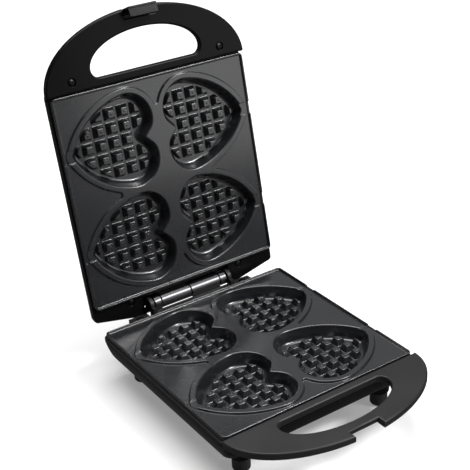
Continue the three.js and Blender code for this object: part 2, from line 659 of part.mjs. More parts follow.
// Thermal fuse: a capsule in its sleeve, lying under the reflector
function fuse(x) {
  const centre = -REFLECTOR_BACK - CLEARANCE - FUSE_RADIUS;
  const half = FUSE_LENGTH / 2;
  return join(
    rod(FUSE_RADIUS, x - half, x + half, 0, centre, SMALL_SIDES),
    rod(FUSE_RADIUS / 2, x - half - FUSE_LEAD, x + half + FUSE_LEAD, 0, centre, SMALL_SIDES),
  );
}

// Carrier of the plate, in both halves

function pocketForPlate() {
  const half = HALF + CLEARANCE;
  return slab(roundedRectangle(half, -half, half, PLATE_CORNER + CLEARANCE), -LEDGE_DEPTH, OVERRUN);
}

function ledgeWindow() {
  const half = HALF - LEDGE_SEAT;
  return slab(roundedRectangle(half, -half, half, PLATE_CORNER), -RING_BOTTOM - OVERRUN, OVERRUN);
}

const handCut = (bottom) => slab(handOpening(), bottom - OVERRUN, OVERRUN);

function latchNotch(bottom) {
  const half = LATCH_WIDTH / 2 + LATCH_SIDE_GAP;
  const front = -(HALF + HANDLE_REACH + OVERRUN);
  return block(-half, half, front, LATCH_NOTCH_Y, bottom - OVERRUN, OVERRUN);
}

// Base

// Space under the lower handle's lip for the latch hook
function hookRelief() {
  const half = LATCH_WIDTH / 2 + LATCH_SIDE_GAP;
  const rear = LATCH_NOTCH_Y + HOOK_BITE + HOOK_ROOM;
  return block(-half, half, LATCH_NOTCH_Y - OVERRUN, rear,
    -HANDLE_BACK - OVERRUN, -HANDLE_FACE - LIP_THICKNESS);
}

// Hinge ear on one side: a disc about the axis and a neck that comes up in front of it
function hingeEar(side) {
  const [left, right] = side > 0 ? [EAR_START, EAR_END] : [-EAR_END, -EAR_START];
  return join(
    rod(EAR_RADIUS, left, right, HINGE_Y, HINGE_UP),
    block(left, right, HALF + BASE_REAR_OUT - OVERRUN, HINGE_Y - EAR_RADIUS / 2, -RING_BOTTOM, HINGE_UP),
  );
}

// Pad beside the hinge that stops the open lid and takes a rear screw
function stopPad(side) {
  const [left, right] = side > 0 ? [STOP_START, STOP_HALF_WIDTH] : [-STOP_HALF_WIDTH, -STOP_START];
  return block(left, right, HALF + BASE_REAR_OUT - OVERRUN, HINGE_Y - STOP_GAP, -RING_BOTTOM, -STOP_TOP);
}

// Lower handle, the ring that carries the plate, and the hinge's ears, in one moulding
function baseFrame() {
  const handle = roundedSlab(handleOutline, -HANDLE_BACK, -HANDLE_FACE, HANDLE_ROUND, HANDLE_ROUND);
  const rim = HALF + BASE_RIM_OUT;
  const front = -(HALF + FRAME_FRONT_OUT);
  const ledge = roundedRectangle(rim, front, HALF + BASE_REAR_OUT, HOUSING_CORNER);
  const hingeWall = block(-EAR_END, EAR_END, HALF + CLEARANCE, HINGE_WALL_REAR, -LEAF_DROP, -HANDLE_FACE);
  const solids = [handle, slab(ledge, -RING_BOTTOM, -LEDGE_DEPTH), hingeWall];
  const sides = [-1, 1];
  return cut(
    join(...solids, ...sides.map(hingeEar), ...sides.map(stopPad)),
    pocketForPlate(),
    ledgeWindow(),
    handCut(-HANDLE_BACK),
    latchNotch(-HANDLE_BACK),
    hookRelief(),
    rod(PIN_RADIUS + CLEARANCE, -EAR_END - OVERRUN, EAR_END + OVERRUN, HINGE_Y, HINGE_UP),
    ...stopScrewPlaces.map(([x, y]) => screwHole(x, y, -RING_BOTTOM - OVERRUN, 0)),
    ...stopScrewPlaces.map(([x, y]) => screwSink(x, y, -STOP_TOP - SCREW_SINK, 0)),
  );
}

// Side profile of the base's cover: shares of its depth, and of how far it leans in
const trayShares = [
  { depth: 0, lean: 0 }, { depth: 0.3, lean: 0.1 }, { depth: 0.64, lean: 0.28 },
  { depth: 0.82, lean: 0.56 }, { depth: 0.94, lean: 0.8 }, { depth: 1, lean: 1 },
];

function tray(top, bottom, inset) {
  return loft(trayShares.map(({ depth, lean }) => {
    const leanIn = lean * BASE_LEAN + inset;
    const front = HALF + FRONT_OUT - lean * FRONT_CUT_BACK - leanIn;
    const rear = HALF + BASE_REAR_OUT - leanIn;
    const side = HALF + BASE_RIM_OUT - leanIn;
    const corner = HOUSING_CORNER + lean * HOUSING_CORNER - inset;
    return ring(top - depth * (top - bottom), roundedRectangle(side, -front, rear, corner));
  }).reverse());
}

// Base cover: a tray with four bosses for the feet, two for the rear screws, and vents
function baseCover() {
  const top = -RING_BOTTOM - CLEARANCE;
  const floorTop = WALL - BODY_DEPTH;
  const vents = Array.from({ length: VENT_COUNT }, (_, i) => {
    const x = (i - (VENT_COUNT - 1) / 2) * VENT_PITCH;
    return block(x - VENT_WIDTH / 2, x + VENT_WIDTH / 2, -VENT_LENGTH / 2, VENT_LENGTH / 2,
      -BODY_DEPTH - OVERRUN, floorTop + OVERRUN);
  });
  const bossRoot = FOOT_BOSS_RADIUS - FOOT_BOSS_TAPER;
  const bosses = footPlaces.map(([x, y]) => (
    cylinder(bossRoot, -BODY_DEPTH - FOOT_BOSS_HEIGHT, floorTop - CLEARANCE, x, y, ROUND_SIDES,
      FOOT_BOSS_RADIUS)
  ));
  const screwBosses = stopScrewPlaces.map(([x, y]) => (
    cylinder(BOSS_RADIUS, top - BOSS_LENGTH, top, x, y, SMALL_SIDES)
  ));
  const hingeHalf = EAR_END + CLEARANCE;
  return cut(
    join(tray(top, -BODY_DEPTH, 0), ...bosses, ...screwBosses),
    tray(top + OVERRUN, floorTop, WALL),
    ...footPlaces.map(([x, y]) => cylinder(
      FOOT_RADIUS + CLEARANCE, -BODY_DEPTH - FOOT_BOSS_HEIGHT - OVERRUN, -BODY_DEPTH + FOOT_SEAT, x, y,
    )),
    ...footPlaces.map(([x, y]) => screwHole(x, y, -BODY_DEPTH, floorTop + OVERRUN)),
    ...vents,
    ...stopScrewPlaces.map(([x, y]) => screwHole(x, y, top - BOSS_LENGTH + WALL, top + OVERRUN)),
    block(-hingeHalf, hingeHalf, HALF, HINGE_Y, -LEAF_DROP - CLEARANCE, 0),
    plug(BUSH_RADIUS + CLEARANCE, HALF - BUSH_LENGTH, HALF + BUSH_LENGTH, BUSH_X, -BUSH_DEPTH),
  );
}

// Rubber foot: turned profile with a domed end and a flat pad, hollow for its screw
function foot([x, y]) {
  const table = -BASE_RIM_HEIGHT;
  const top = -BODY_DEPTH + FOOT_SEAT - CLEARANCE;
  const dome = FOOT_RADIUS - FOOT_PAD_RADIUS;
  const well = SCREW_HEAD_RADIUS + CLEARANCE;
  const wellTop = -BODY_DEPTH - FOOT_BOSS_HEIGHT;
  const hole = SCREW_RADIUS + CLEARANCE;
  const edge = arc(FOOT_PAD_RADIUS, table + dome, dome, -Math.PI / 2, 0, Math.PI / 4).map((p) => [p.x, p.y]);
  return turned([
    [well, table], ...edge, [FOOT_RADIUS, table + dome], [FOOT_RADIUS, top],
    [hole, top], [hole, wellTop], [well, wellTop], [well, table],
  ], x, y, ROUND_SIDES);
}

const footScrew = ([x, y]) => (
  screw(x, y, -BODY_DEPTH - FOOT_BOSS_HEIGHT - CLEARANCE, FOOT_BOSS_HEIGHT + 2 * WALL, 1)
);

// Terminal block with its wire ways, standing on the base's floor
function terminalBlock() {
  const floor = -BODY_DEPTH + WALL + CLEARANCE;
  const half = TERMINAL_LENGTH / 2;
  const front = TERMINAL_PLACE - TERMINAL_WIDTH / 2;
  const rear = TERMINAL_PLACE + TERMINAL_WIDTH / 2;
  const ways = Array.from({ length: TERMINAL_WAYS }, (_, i) => {
    const x = (i - (TERMINAL_WAYS - 1) / 2) * TERMINAL_LENGTH / TERMINAL_WAYS;
    return plug(WIRE_RADIUS, front - OVERRUN, rear + OVERRUN, x, floor + TERMINAL_HEIGHT / 2, SMALL_SIDES);
  });
  return cut(block(-half, half, front, rear, floor, floor + TERMINAL_HEIGHT), ...ways);
}

// Bush in the rear wall, where the mains lead enters
function cordBush() {
  const rear = HALF + BASE_REAR_OUT + OVERRUN;
  return cut(
    join(
      plug(BUSH_RADIUS, rear - BUSH_LENGTH, rear, BUSH_X, -BUSH_DEPTH),
      plug(BUSH_RADIUS + WALL, rear - WALL, rear, BUSH_X, -BUSH_DEPTH),
    ),
    plug(BUSH_RADIUS / 2, rear - BUSH_LENGTH - OVERRUN, rear + OVERRUN, BUSH_X, -BUSH_DEPTH, SMALL_SIDES),
  );
}

// Hinge

// Leaf with rolled knuckles. Each knuckle wraps the pin and runs into a flat tab in front of it,
// and a web joins the tabs. The leaf points down from the axis (-1) in the base and up (1) in
// the lid.
function hingeLeaf(spans, way) {
  const front = HINGE_Y - KNUCKLE_RADIUS;
  const rear = front + LEAF_THICKNESS;
  const sheet = (left, right, from, to) => {
    const ends = [HINGE_UP + way * from, HINGE_UP + way * to].sort((a, b) => a - b);
    return block(left, right, front, rear, ...ends);
  };
  const left = Math.min(...spans.flat());
  const right = Math.max(...spans.flat());
  return cut(
    join(
      ...spans.map(([start, end]) => rod(KNUCKLE_RADIUS, start, end, HINGE_Y, HINGE_UP)),
      ...spans.map(([start, end]) => sheet(start, end, 0, LEAF_DROP)),
      sheet(left, right, LEAF_DROP - LEAF_WEB, LEAF_DROP),
    ),
    rod(PIN_RADIUS + CLEARANCE, left - OVERRUN, right + OVERRUN, HINGE_Y, HINGE_UP),
  );
}

const longKnuckle = [KNUCKLE_GAP / 2, KNUCKLE_GAP / 2 + LONG_KNUCKLE];
const shortKnuckle = [longKnuckle[1] + KNUCKLE_GAP, longKnuckle[1] + KNUCKLE_GAP + SHORT_KNUCKLE];
const onLeft = ([start, end]) => [-end, -start];

const hingePin = () => rod(PIN_RADIUS, -EAR_END, EAR_END, HINGE_Y, HINGE_UP);

// Lid, drawn face up like the base

// Rear edge of the lid: straight behind the hinge, slanting to the corners
function lidRear(inset) {
  const side = HALF + LID_RIM_OUT - inset;
  const corner = HALF + LID_REAR_CORNER - inset;
  const right = [
    point(side, corner - LID_REAR_ROUND),
    point(side - LID_REAR_ROUND, corner),
    point(LID_REAR_SHOULDER - inset / 2, HALF + LID_REAR_MIDDLE - inset),
  ];
  return [...right, ...mirroredX(right)];
}

// Plan of the lid at an inset; its front stands off the plate's edge by an amount of its own
function lidPlan(inset, frontOut = LID_RIM_OUT) {
  const side = HALF + LID_RIM_OUT - inset;
  const front = -(HALF + frontOut - inset);
  const step = Math.PI / 2 / CORNER_STEPS;
  const x = side - HOUSING_CORNER;
  const y = front + HOUSING_CORNER;
  return [
    ...arc(-x, y, HOUSING_CORNER, Math.PI, 3 * Math.PI / 2, step),
    point(-x, front),
    ...arc(x, y, HOUSING_CORNER, -Math.PI / 2, 0, step),
    point(side, y),
    ...lidRear(inset),
  ];
}

const hingeRecess = (bottom, rear) => (
  block(-RECESS_HALF_WIDTH, RECESS_HALF_WIDTH, HALF + LEAF_THICKNESS, rear, bottom, OVERRUN)
);

// Wall in the lid that the hinge leaf lies against; its foot reaches under the plate's ledge
function lidHingeWall() {
  const half = RECESS_HALF_WIDTH - CLEARANCE;
  const front = HALF - LEDGE_SEAT;
  const foot = -RING_BOTTOM - WALL;
  return join(
    block(-half, half, HINGE_WALL_REAR - WALL, HINGE_WALL_REAR, -LEAF_DROP - HINGE_UP_IN_LID, -RING_BOTTOM),
    block(-half, half, front, HINGE_WALL_REAR, foot, -RING_BOTTOM),
    block(-half, half, front, HALF + LEAF_THICKNESS, foot, -LEDGE_DEPTH),
  );
}

// Inner half of the lid: the handle's inner skin and the ring that carries the plate
function lidFrame() {
  const skinBack = -HANDLE_FACE - LID_FRAME_SKIN;
  const handle = roundedSlab(handleOutline, skinBack, -HANDLE_FACE, SEAM_ROUND, HANDLE_ROUND);
  const bridge = block(-HALF, HALF, -(HALF + FRAME_FRONT_OUT), -(HALF + HANDLE_PLATE_GAP),
    -RING_BOTTOM, -HANDLE_FACE - HANDLE_ROUND);
  const flange = slab(lidPlan(0, FRAME_FRONT_OUT), -RING_BOTTOM, -LEDGE_DEPTH);
  const recess = hingeRecess(-RING_BOTTOM - OVERRUN, HALF + LID_REAR_MIDDLE + OVERRUN);
  return cut(
    join(cut(join(handle, bridge, flange), recess), lidHingeWall()),
    pocketForPlate(),
    ledgeWindow(),
    handCut(-HANDLE_BACK),
    latchNotch(-HANDLE_BACK),
    latchPinRoom(),
    ...lidScrewPlaces.map(([x, y]) => screwHole(x, y, -RING_BOTTOM - OVERRUN, 0)),
    ...lidScrewPlaces.map(([x, y]) => screwSink(x, y, -LEDGE_DEPTH - SCREW_SINK, 0)),
    ...handleScrewPlaces.map(([x, y]) => screwHole(x, y, -HANDLE_BACK, OVERRUN)),
    ...handleScrewPlaces.map(([x, y]) => screwSink(x, y, -HANDLE_FACE - SCREW_SINK, OVERRUN)),
  );
}

// Side profile of the lid's cover: shares of its depth below the seam, and of how far it leans in
const lidShares = [
  { depth: 0, lean: 0 }, { depth: 0.28, lean: 0.05 }, { depth: 0.55, lean: 0.2 },
  { depth: 0.78, lean: 0.42 }, { depth: 0.93, lean: 0.7 }, { depth: 1, lean: 1 },
];

function lidShell(top, bottom, inset) {
  const plan = (lean, extra) => lidPlan(inset + lean * LID_LEAN + extra, FRONT_OUT - lean * FRONT_CUT_BACK);
  const sides = lidShares.map(({ depth, lean }) => ring(top - depth * (top - bottom), plan(lean, 0)));
  return loft([...sides, ring(bottom - LID_DOME, plan(1, LID_DOME_INSET))].reverse());
}

// Outer half of the lid: the domed shell and the outer half of the handle
function lidCover() {
  const seam = -RING_BOTTOM - LID_SEAM;
  const handleTop = -HANDLE_FACE - LID_FRAME_SKIN - LID_SEAM;
  const frameFront = -(HALF + FRAME_FRONT_OUT + CLEARANCE);
  const handle = roundedSlab(handleOutline, -HANDLE_BACK, handleTop, HANDLE_ROUND, SEAM_ROUND);
  const handleRoom = block(-2 * HALF, 2 * HALF, frameFront, 0, -BODY_DEPTH, 0);
  const riser = block(-HALF, HALF, -(HALF + FRONT_OUT), frameFront, seam - WALL, handleTop);
  const outer = lidShell(seam, -LID_DEPTH, 0);
  const bosses = lidScrewPlaces.map(([x, y]) => (
    cylinder(BOSS_RADIUS, -LID_DEPTH, seam, x, y, SMALL_SIDES).intersect(outer)
  ));
  const recessFloor = -LEAF_DROP - HINGE_UP_IN_LID - CLEARANCE;
  return cut(
    join(cut(outer, lidShell(seam + OVERRUN, WALL - LID_DEPTH, WALL)),
      riser, cut(handle, handleRoom), ...bosses),
    handCut(-LID_DEPTH),
    latchNotch(-LID_DEPTH),
    latchPinRoom(),
    hingeRecess(recessFloor, HALF + LID_REAR_MIDDLE - WALL),
    ...lidScrewPlaces.map(([x, y]) => screwHole(x, y, seam - BOSS_LENGTH, 0)),
    ...handleScrewPlaces.map(([x, y]) => screwHole(x, y, -HANDLE_BACK + WALL / 2, OVERRUN)),
    ...lensPlaces.map((x) => cylinder(
      LENS_RADIUS + CLEARANCE, -LID_DEPTH - LID_DOME - OVERRUN, WALL - LID_DEPTH + OVERRUN, x, LENS_Y,
    )),
  );
}

// Lens: a turned plug with a domed face outside the cover and a collar inside it
function lens(x) {
  const face = -LID_DEPTH - LID_DOME - LENS_PROUD;
  const collar = -LID_DEPTH + WALL + CLEARANCE;
  return turned([
    [0, face], [LENS_RADIUS - LENS_PROUD, face], [LENS_RADIUS, face + LENS_PROUD], [LENS_RADIUS, collar],
    [LENS_RADIUS + LENS_COLLAR, collar], [LENS_RADIUS + LENS_COLLAR, collar + LENS_COLLAR],
    [0, collar + LENS_COLLAR],
  ], x, LENS_Y, ROUND_SIDES);
}

function lamp(x) {
  const start = -LID_DEPTH + WALL + LENS_COLLAR + 2 * CLEARANCE;
  return cylinder(LAMP_RADIUS, start, start + LAMP_LENGTH, x, LENS_Y, SMALL_SIDES);
}

// Latch, drawn in the lid's own frame: the hook reaches above the rim, to the lower half

function latchAxle(radius, halfLength) {
  return rod(radius, -halfLength, halfLength, LATCH_PIN_Y, LATCH_PIN_Z, SMALL_SIDES);
}

const latchPin = () => latchAxle(LATCH_PIN_RADIUS, LATCH_WIDTH / 2 + LATCH_PIN_OVERHANG);
const latchPinRoom = () => (
  latchAxle(LATCH_PIN_RADIUS + CLEARANCE, LATCH_WIDTH / 2 + LATCH_PIN_OVERHANG + CLEARANCE)
);

// Clip: a front blade with a hook at its end, a hub round the pin and a rib at each side
function latchClip() {
  const half = LATCH_WIDTH / 2;
  const front = -(HALF + HANDLE_REACH) + HANDLE_ROUND / 2;
  const inBlade = front + LATCH_SKIN / 2;
  const hookTop = PLATE_GAP + LATCH_REACH;
  const hookBottom = hookTop - HOOK_THICKNESS;
  const rib = (left) => (
    block(left, left + LATCH_SKIN, inBlade, LATCH_PIN_Y, LATCH_PIN_Z, hookBottom + HOOK_THICKNESS / 2)
  );
  return cut(
    join(
      block(-half, half, front, front + LATCH_SKIN, -HANDLE_BACK, hookTop),
      rod(2 * LATCH_PIN_RADIUS, -half, half, LATCH_PIN_Y, LATCH_PIN_Z),
      block(-half, half, inBlade, LATCH_PIN_Y,
        LATCH_PIN_Z - LATCH_PIN_RADIUS, LATCH_PIN_Z + LATCH_PIN_RADIUS),
      block(-half, half, inBlade, LATCH_NOTCH_Y + HOOK_BITE, hookBottom, hookTop),
      rib(-half),
      rib(half - LATCH_SKIN),
    ),
    latchAxle(LATCH_PIN_RADIUS + CLEARANCE, half + OVERRUN),
  );
}

// Assembly

const base = new THREE.Group();
const lid = new THREE.Group();
const latch = new THREE.Group();
const hinge = new THREE.Group();
const stickMaker = new THREE.Group();

function put(group, name, manifold, material) {
  const mesh = new THREE.Mesh(geometryOf(manifold), material);
  mesh.name = name;
  group.add(mesh);
}

put(base, 'base_frame', baseFrame(), greyPlastic);
put(base, 'base_cover', baseCover(), blackPlastic);
put(base, 'lower_plate', castPlate(), nonStick);
put(base, 'lower_element', element(), brightSteel);
put(base, 'lower_reflector', reflector(), brightSteel);
put(base, 'lower_thermostat', thermostat(-THERMOSTAT_PLACE), ceramic);
put(base, 'thermal_fuse', fuse(THERMOSTAT_PLACE), ceramic);
put(base, 'terminal_block', terminalBlock(), ceramic);
put(base, 'cord_bush', cordBush(), rubber);
put(base, 'hinge_leaf_base', hingeLeaf([onLeft(shortKnuckle), longKnuckle], -1), hingeSteel);
put(base, 'hinge_pin', hingePin(), brightSteel);
cornerNames.forEach((corner, i) => {
  put(base, `foot_${corner}`, foot(footPlaces[i]), rubber);
  put(base, `foot_screw_${corner}`, footScrew(footPlaces[i]), brightSteel);
  put(base, `lower_plate_screw_${corner}`, plateScrew(bossPlaces[i]), brightSteel);
});
['left', 'right'].forEach((name, i) => {
  const seat = -STOP_TOP - SCREW_SINK + CLEARANCE;
  put(base, `base_rear_screw_${name}`, screw(...stopScrewPlaces[i], seat, SCREW_BITE, -1), brightSteel);
});

put(lid, 'lid_frame', lidFrame(), blackPlastic);
put(lid, 'lid_cover', lidCover(), blackPlastic);
put(lid, 'upper_plate', castPlate(), nonStick);
put(lid, 'upper_element', element(), brightSteel);
put(lid, 'upper_reflector', reflector(), brightSteel);
put(lid, 'upper_thermostat', thermostat(0), ceramic);
put(lid, 'power_lens', lens(lensPlaces[0]), redLens);
put(lid, 'ready_lens', lens(lensPlaces[1]), greenLens);
put(lid, 'power_lamp', lamp(lensPlaces[0]), glass);
put(lid, 'ready_lamp', lamp(lensPlaces[1]), glass);
put(lid, 'latch_pin', latchPin(), brightSteel);
put(latch, 'latch_clip', latchClip().translate([0, -LATCH_PIN_Y, -LATCH_PIN_Z]), blackPlastic);
cornerNames.forEach((corner, i) => {
  put(lid, `upper_plate_screw_${corner}`, plateScrew(bossPlaces[i]), brightSteel);
});

// Turning the lid over swaps its left and right, so its right screws are drawn on the left
['right', 'left'].forEach((name, i) => {
  const rearSeat = -LEDGE_DEPTH - SCREW_SINK + CLEARANCE;
  const handleSeat = -HANDLE_FACE - SCREW_SINK + CLEARANCE;
  put(lid, `lid_rear_screw_${name}`, screw(...lidScrewPlaces[i], rearSeat, SCREW_BITE, -1), brightSteel);
  put(lid, `lid_handle_screw_${name}`,
    screw(...handleScrewPlaces[i], handleSeat, LID_FRAME_SKIN + LID_SEAM, -1), brightSteel);
});

// The lid's leaf is drawn about the axis of the shut lid, so it hangs from the hinge directly
const lidLeaf = hingeLeaf([onLeft(longKnuckle), shortKnuckle], 1);
put(hinge, 'hinge_leaf_lid', lidLeaf.translate([0, -HINGE_Y, -HINGE_UP]), hingeSteel);

latch.position.set(0, LATCH_PIN_Y, LATCH_PIN_Z);
latch.rotation.x = degrees(LATCH_SWING);
lid.add(latch);
lid.rotation.y = Math.PI;
lid.position.set(0, -HINGE_Y, -HINGE_UP_IN_LID);
hinge.add(lid);
hinge.position.set(0, HINGE_Y, HINGE_UP);
hinge.rotation.x = -degrees(OPEN_ANGLE);
base.add(hinge);
base.position.z = BASE_RIM_HEIGHT;
stickMaker.add(base);

// The origin lies on the table, under the middle of the open iron
const extent = new THREE.Box3().setFromObject(stickMaker, true);
stickMaker.position.y = -(extent.min.y + extent.max.y) / 2;

export default stickMaker;
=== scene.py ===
# %% [markdown]
# # Waffle stick maker
#
# A small hinged iron stands open. Two cast plates, each with four heart moulds full of pegs, sit
# in plastic housings with D-shaped handles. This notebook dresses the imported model: the
# construction comes from the frame, and each visible piece gets the fine surface of the real one.

# %% Load the frame
import json
import math

import bmesh
import bpy
import numpy as np
from mathutils import Matrix, Vector
from mathutils.geometry import delaunay_2d_cdt, tessellate_polygon


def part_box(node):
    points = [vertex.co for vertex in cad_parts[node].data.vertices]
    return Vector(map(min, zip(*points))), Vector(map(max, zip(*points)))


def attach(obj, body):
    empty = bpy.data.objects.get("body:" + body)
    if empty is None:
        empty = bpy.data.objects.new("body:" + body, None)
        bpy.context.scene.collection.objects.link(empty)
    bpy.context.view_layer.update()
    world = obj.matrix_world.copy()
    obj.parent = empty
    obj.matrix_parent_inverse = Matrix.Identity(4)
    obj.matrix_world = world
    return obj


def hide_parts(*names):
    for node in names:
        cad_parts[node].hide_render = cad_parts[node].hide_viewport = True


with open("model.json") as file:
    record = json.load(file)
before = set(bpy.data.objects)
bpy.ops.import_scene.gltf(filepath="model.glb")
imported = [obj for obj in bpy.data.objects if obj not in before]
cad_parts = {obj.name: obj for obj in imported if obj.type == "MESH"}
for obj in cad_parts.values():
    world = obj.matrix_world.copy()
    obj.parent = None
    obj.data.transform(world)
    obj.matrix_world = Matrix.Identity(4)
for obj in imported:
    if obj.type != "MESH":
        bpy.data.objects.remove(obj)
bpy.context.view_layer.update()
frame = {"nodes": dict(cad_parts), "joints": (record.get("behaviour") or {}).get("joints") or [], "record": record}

# %% [markdown]
# ## Two drawing frames
#
# The two halves of the real iron are nearly mirror images, and one leans back by a hundred
# degrees. Drawing the lid where it stands would put a slant into every coordinate. So both halves
# are drawn face up, in millimetres: the origin is the middle of the plate, height 0 is the top of
# its rim and the handle points to -Y. The base only has to be lifted to its place. The lid is
# turned over and hung on the hinge, whose axis and angle the frame's joint gives.

# %% Drawing frames
MM = 0.001
plate_low, plate_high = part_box("lower_plate")
HALF = (plate_high.x - plate_low.x) / 2 / MM
PLATE_Y = (plate_low.y + plate_high.y) / 2 / MM
RIM_Z = plate_high.z / MM
hinge_joint = next(j for j in frame["joints"] if j["name"] == "lid_hinge")
HINGE_Y = hinge_joint["pos_m"][1] / MM - PLATE_Y
HINGE_UP = hinge_joint["pos_m"][2] / MM - RIM_Z
OPEN_ANGLE = math.radians(hinge_joint["range_deg"][1])
PLATE_GAP = 1.0


def to_base(points):
    """Points of the base's drawing frame, moved to the row frame in metres."""
    return (np.asarray(points, float) + (0.0, PLATE_Y, RIM_Z)) * MM


def to_open(points):
    """Points about the hinge axis of the shut iron, turned back about X by the open angle."""
    x, y, z = np.asarray(points, float).T
    c, s = math.cos(OPEN_ANGLE), math.sin(OPEN_ANGLE)
    turned = np.stack([x, y * c + z * s, z * c - y * s], 1)
    return (turned + (0.0, PLATE_Y + HINGE_Y, RIM_Z + HINGE_UP)) * MM


def to_lid(points):
    """Points of the lid's drawing frame: turned over about Y, then swung open about the hinge."""
    x, y, z = np.asarray(points, float).T
    return to_open(np.stack([-x, y - HINGE_Y, -z - (HINGE_UP - PLATE_GAP)], 1))


print("plate half", round(HALF, 2), "rim height", round(RIM_Z, 2), "hinge", round(HINGE_Y, 2))

# %% [markdown]
# ## Camera
#
# The camera stands to the left of the handles, a little under a metre away, and looks down on the
# open iron. Its place, turn and lens were fitted to the corners of the two square plates. It is
# rolled a little to the right, and shifted so that the iron sits in the picture.

# %% Camera
AZIMUTH, ELEVATION, ROLL = (math.radians(a) for a in (-33.945, 29.440, -2.555))
EYE = (-0.43621, -0.66722, 0.56139)
LENS_PX, PICTURE_PX = 1081.36, 470
CENTRE_PX = (259.84, 277.35)

back = Vector((math.sin(AZIMUTH) * math.cos(ELEVATION),
               -math.cos(AZIMUTH) * math.cos(ELEVATION), math.sin(ELEVATION)))
level = Vector((math.cos(AZIMUTH), math.sin(AZIMUTH), 0))
upright = back.cross(level)
right = math.cos(ROLL) * level + math.sin(ROLL) * upright
above = math.cos(ROLL) * upright - math.sin(ROLL) * level

camera_data = bpy.data.cameras.new("camera")
camera_data.sensor_width = 36
camera_data.lens = LENS_PX / PICTURE_PX * camera_data.sensor_width
camera_data.shift_x = 0.5 - CENTRE_PX[0] / PICTURE_PX
camera_data.shift_y = CENTRE_PX[1] / PICTURE_PX - 0.5
camera_data.clip_end = 20
camera = bpy.data.objects.new("camera", camera_data)
turned_eye = Matrix((right, above, back)).transposed().to_4x4()
camera.matrix_world = Matrix.Translation(EYE) @ turned_eye
bpy.context.scene.collection.objects.link(camera)
bpy.context.scene.camera = camera
print("camera", round(Vector(EYE).length, 3), "m away, lens", round(camera_data.lens, 1), "mm")

# %% [markdown]
# ## Light and floor
#
# The iron is shown on white. Its dark coat and black plastic get their shape from what they
# mirror, and a bright surround would wash them out. So the world is dim, and soft lights stand
# round the object: a key light at the front right gives the form, a small low one beside it draws
# a thin line on every edge, and a wide one above lights the flat faces. Three weak panels are
# there to be mirrored: one at the front right in the upper plate, one behind in the lower plate,
# and one at the rear left in the lid's shell.
#
# The floor is a disc with a faint light of its own. Glossy rays pass it by, because its image in
# the sides would be a pale band. Past its edge the camera sees plain white: the world is bright
# for the camera's own rays and dim for all others.

# %% Light and floor
AMBIENT, BACKDROP = 0.1, 1.0
world = bpy.data.worlds.new("studio")
world.use_nodes = True
world_nodes, world_links = world.node_tree.nodes, world.node_tree.links
seen = world_nodes.new("ShaderNodeLightPath")
strength = world_nodes.new("ShaderNodeMapRange")
strength.inputs["To Min"].default_value = AMBIENT
strength.inputs["To Max"].default_value = BACKDROP
world_links.new(seen.outputs["Is Camera Ray"], strength.inputs["Value"])
world_nodes["Background"].inputs["Color"].default_value = (1, 1, 1, 1)
world_links.new(strength.outputs["Result"], world_nodes["Background"].inputs["Strength"])
bpy.context.scene.world = world
bpy.context.scene.view_settings.view_transform = "Standard"


def soft_light(name, place, aim, size, power):
    """Rectangular area light turned to face a point: place and size in metres, power in watts."""
    data = bpy.data.lights.new(name, "AREA")
    data.energy = power
    data.shape = "RECTANGLE"
    data.size, data.size_y = size
    light = bpy.data.objects.new(name, data)
    light.location = place
    light.rotation_euler = (Vector(aim) - Vector(place)).to_track_quat("-Z", "Y").to_euler()
    bpy.context.scene.collection.objects.link(light)


soft_light("key_light", (1.1, -1.5, 2.0), (0, 0.05, 0.2), (0.65, 0.65), 62)
soft_light("edge_light", (1.3, -1.8, 1.3), (0, 0.05, 0.2), (0.4, 0.4), 11)
soft_light("front_panel", (1.25, -1.35, 0.3), (0, 0.1, 0.15), (1.3, 0.6), 4.4)
soft_light("top_light", (0.2, 0.6, 2.6), (0, 0.2, 0), (2.2, 2.2), 92)
soft_light("back_panel", (1.6, 2.3, 1.6), (0, 0, 0.1), (2.4, 1.6), 3)
soft_light("rear_panel", (-2.2, 1.9, 0.7), (0, 0.1, 0.2), (1.2, 1.2), 5)

FLOOR_RADIUS, FLOOR_SIDES, FLOOR_GLOW = 2.2, 96, 0.25
turns = np.linspace(0, 2 * math.pi, FLOOR_SIDES, endpoint=False)
disc = FLOOR_RADIUS * np.stack([np.cos(turns), np.sin(turns), 0 * turns], 1)
floor_mesh = bpy.data.meshes.new("floor")
floor_mesh.from_pydata(disc.tolist(), [], [list(range(len(disc)))])
floor = bpy.data.objects.new("floor", floor_mesh)
bpy.context.scene.collection.objects.link(floor)
floor.visible_glossy = False
print("lights", [light.name for light in bpy.data.lights], "floor", FLOOR_RADIUS, "m")

# %% [markdown]
# ## Finishes
#
# On the real iron the housing is moulded plastic, with a fine grain and slow changes of gloss.
# The plates have a dark grey lacquer over cast aluminium, with fine specks in it and a glossier
# layer on top. The hinge is dark plated steel, brushed along its axis.
#
# Pictures of such surfaces could be wrapped round the pieces, but they need seams and a layout for
# each piece. Noise needs neither. It is read from Object coordinates, which are metres here, so a
# scale of 28 gives patches of some 35 mm, and it stays on the piece at any pose.

# %% How a finish is made
SLOW_SCALE, SLOW_DETAIL, GRAIN_DETAIL = 28.0, 3.0, 4.0
NOISE_LOW, NOISE_HIGH = 0.3, 0.7
GLOSS_LOW, GLOSS_HIGH = 0.9, 1.12
SPECK_SCALE, SPECK_CORE, SPECK_EDGE = 1100.0, 0.12, 0.2
GRAIN_DEPTH, SCRATCH_SCALE = 0.0002, 0.03


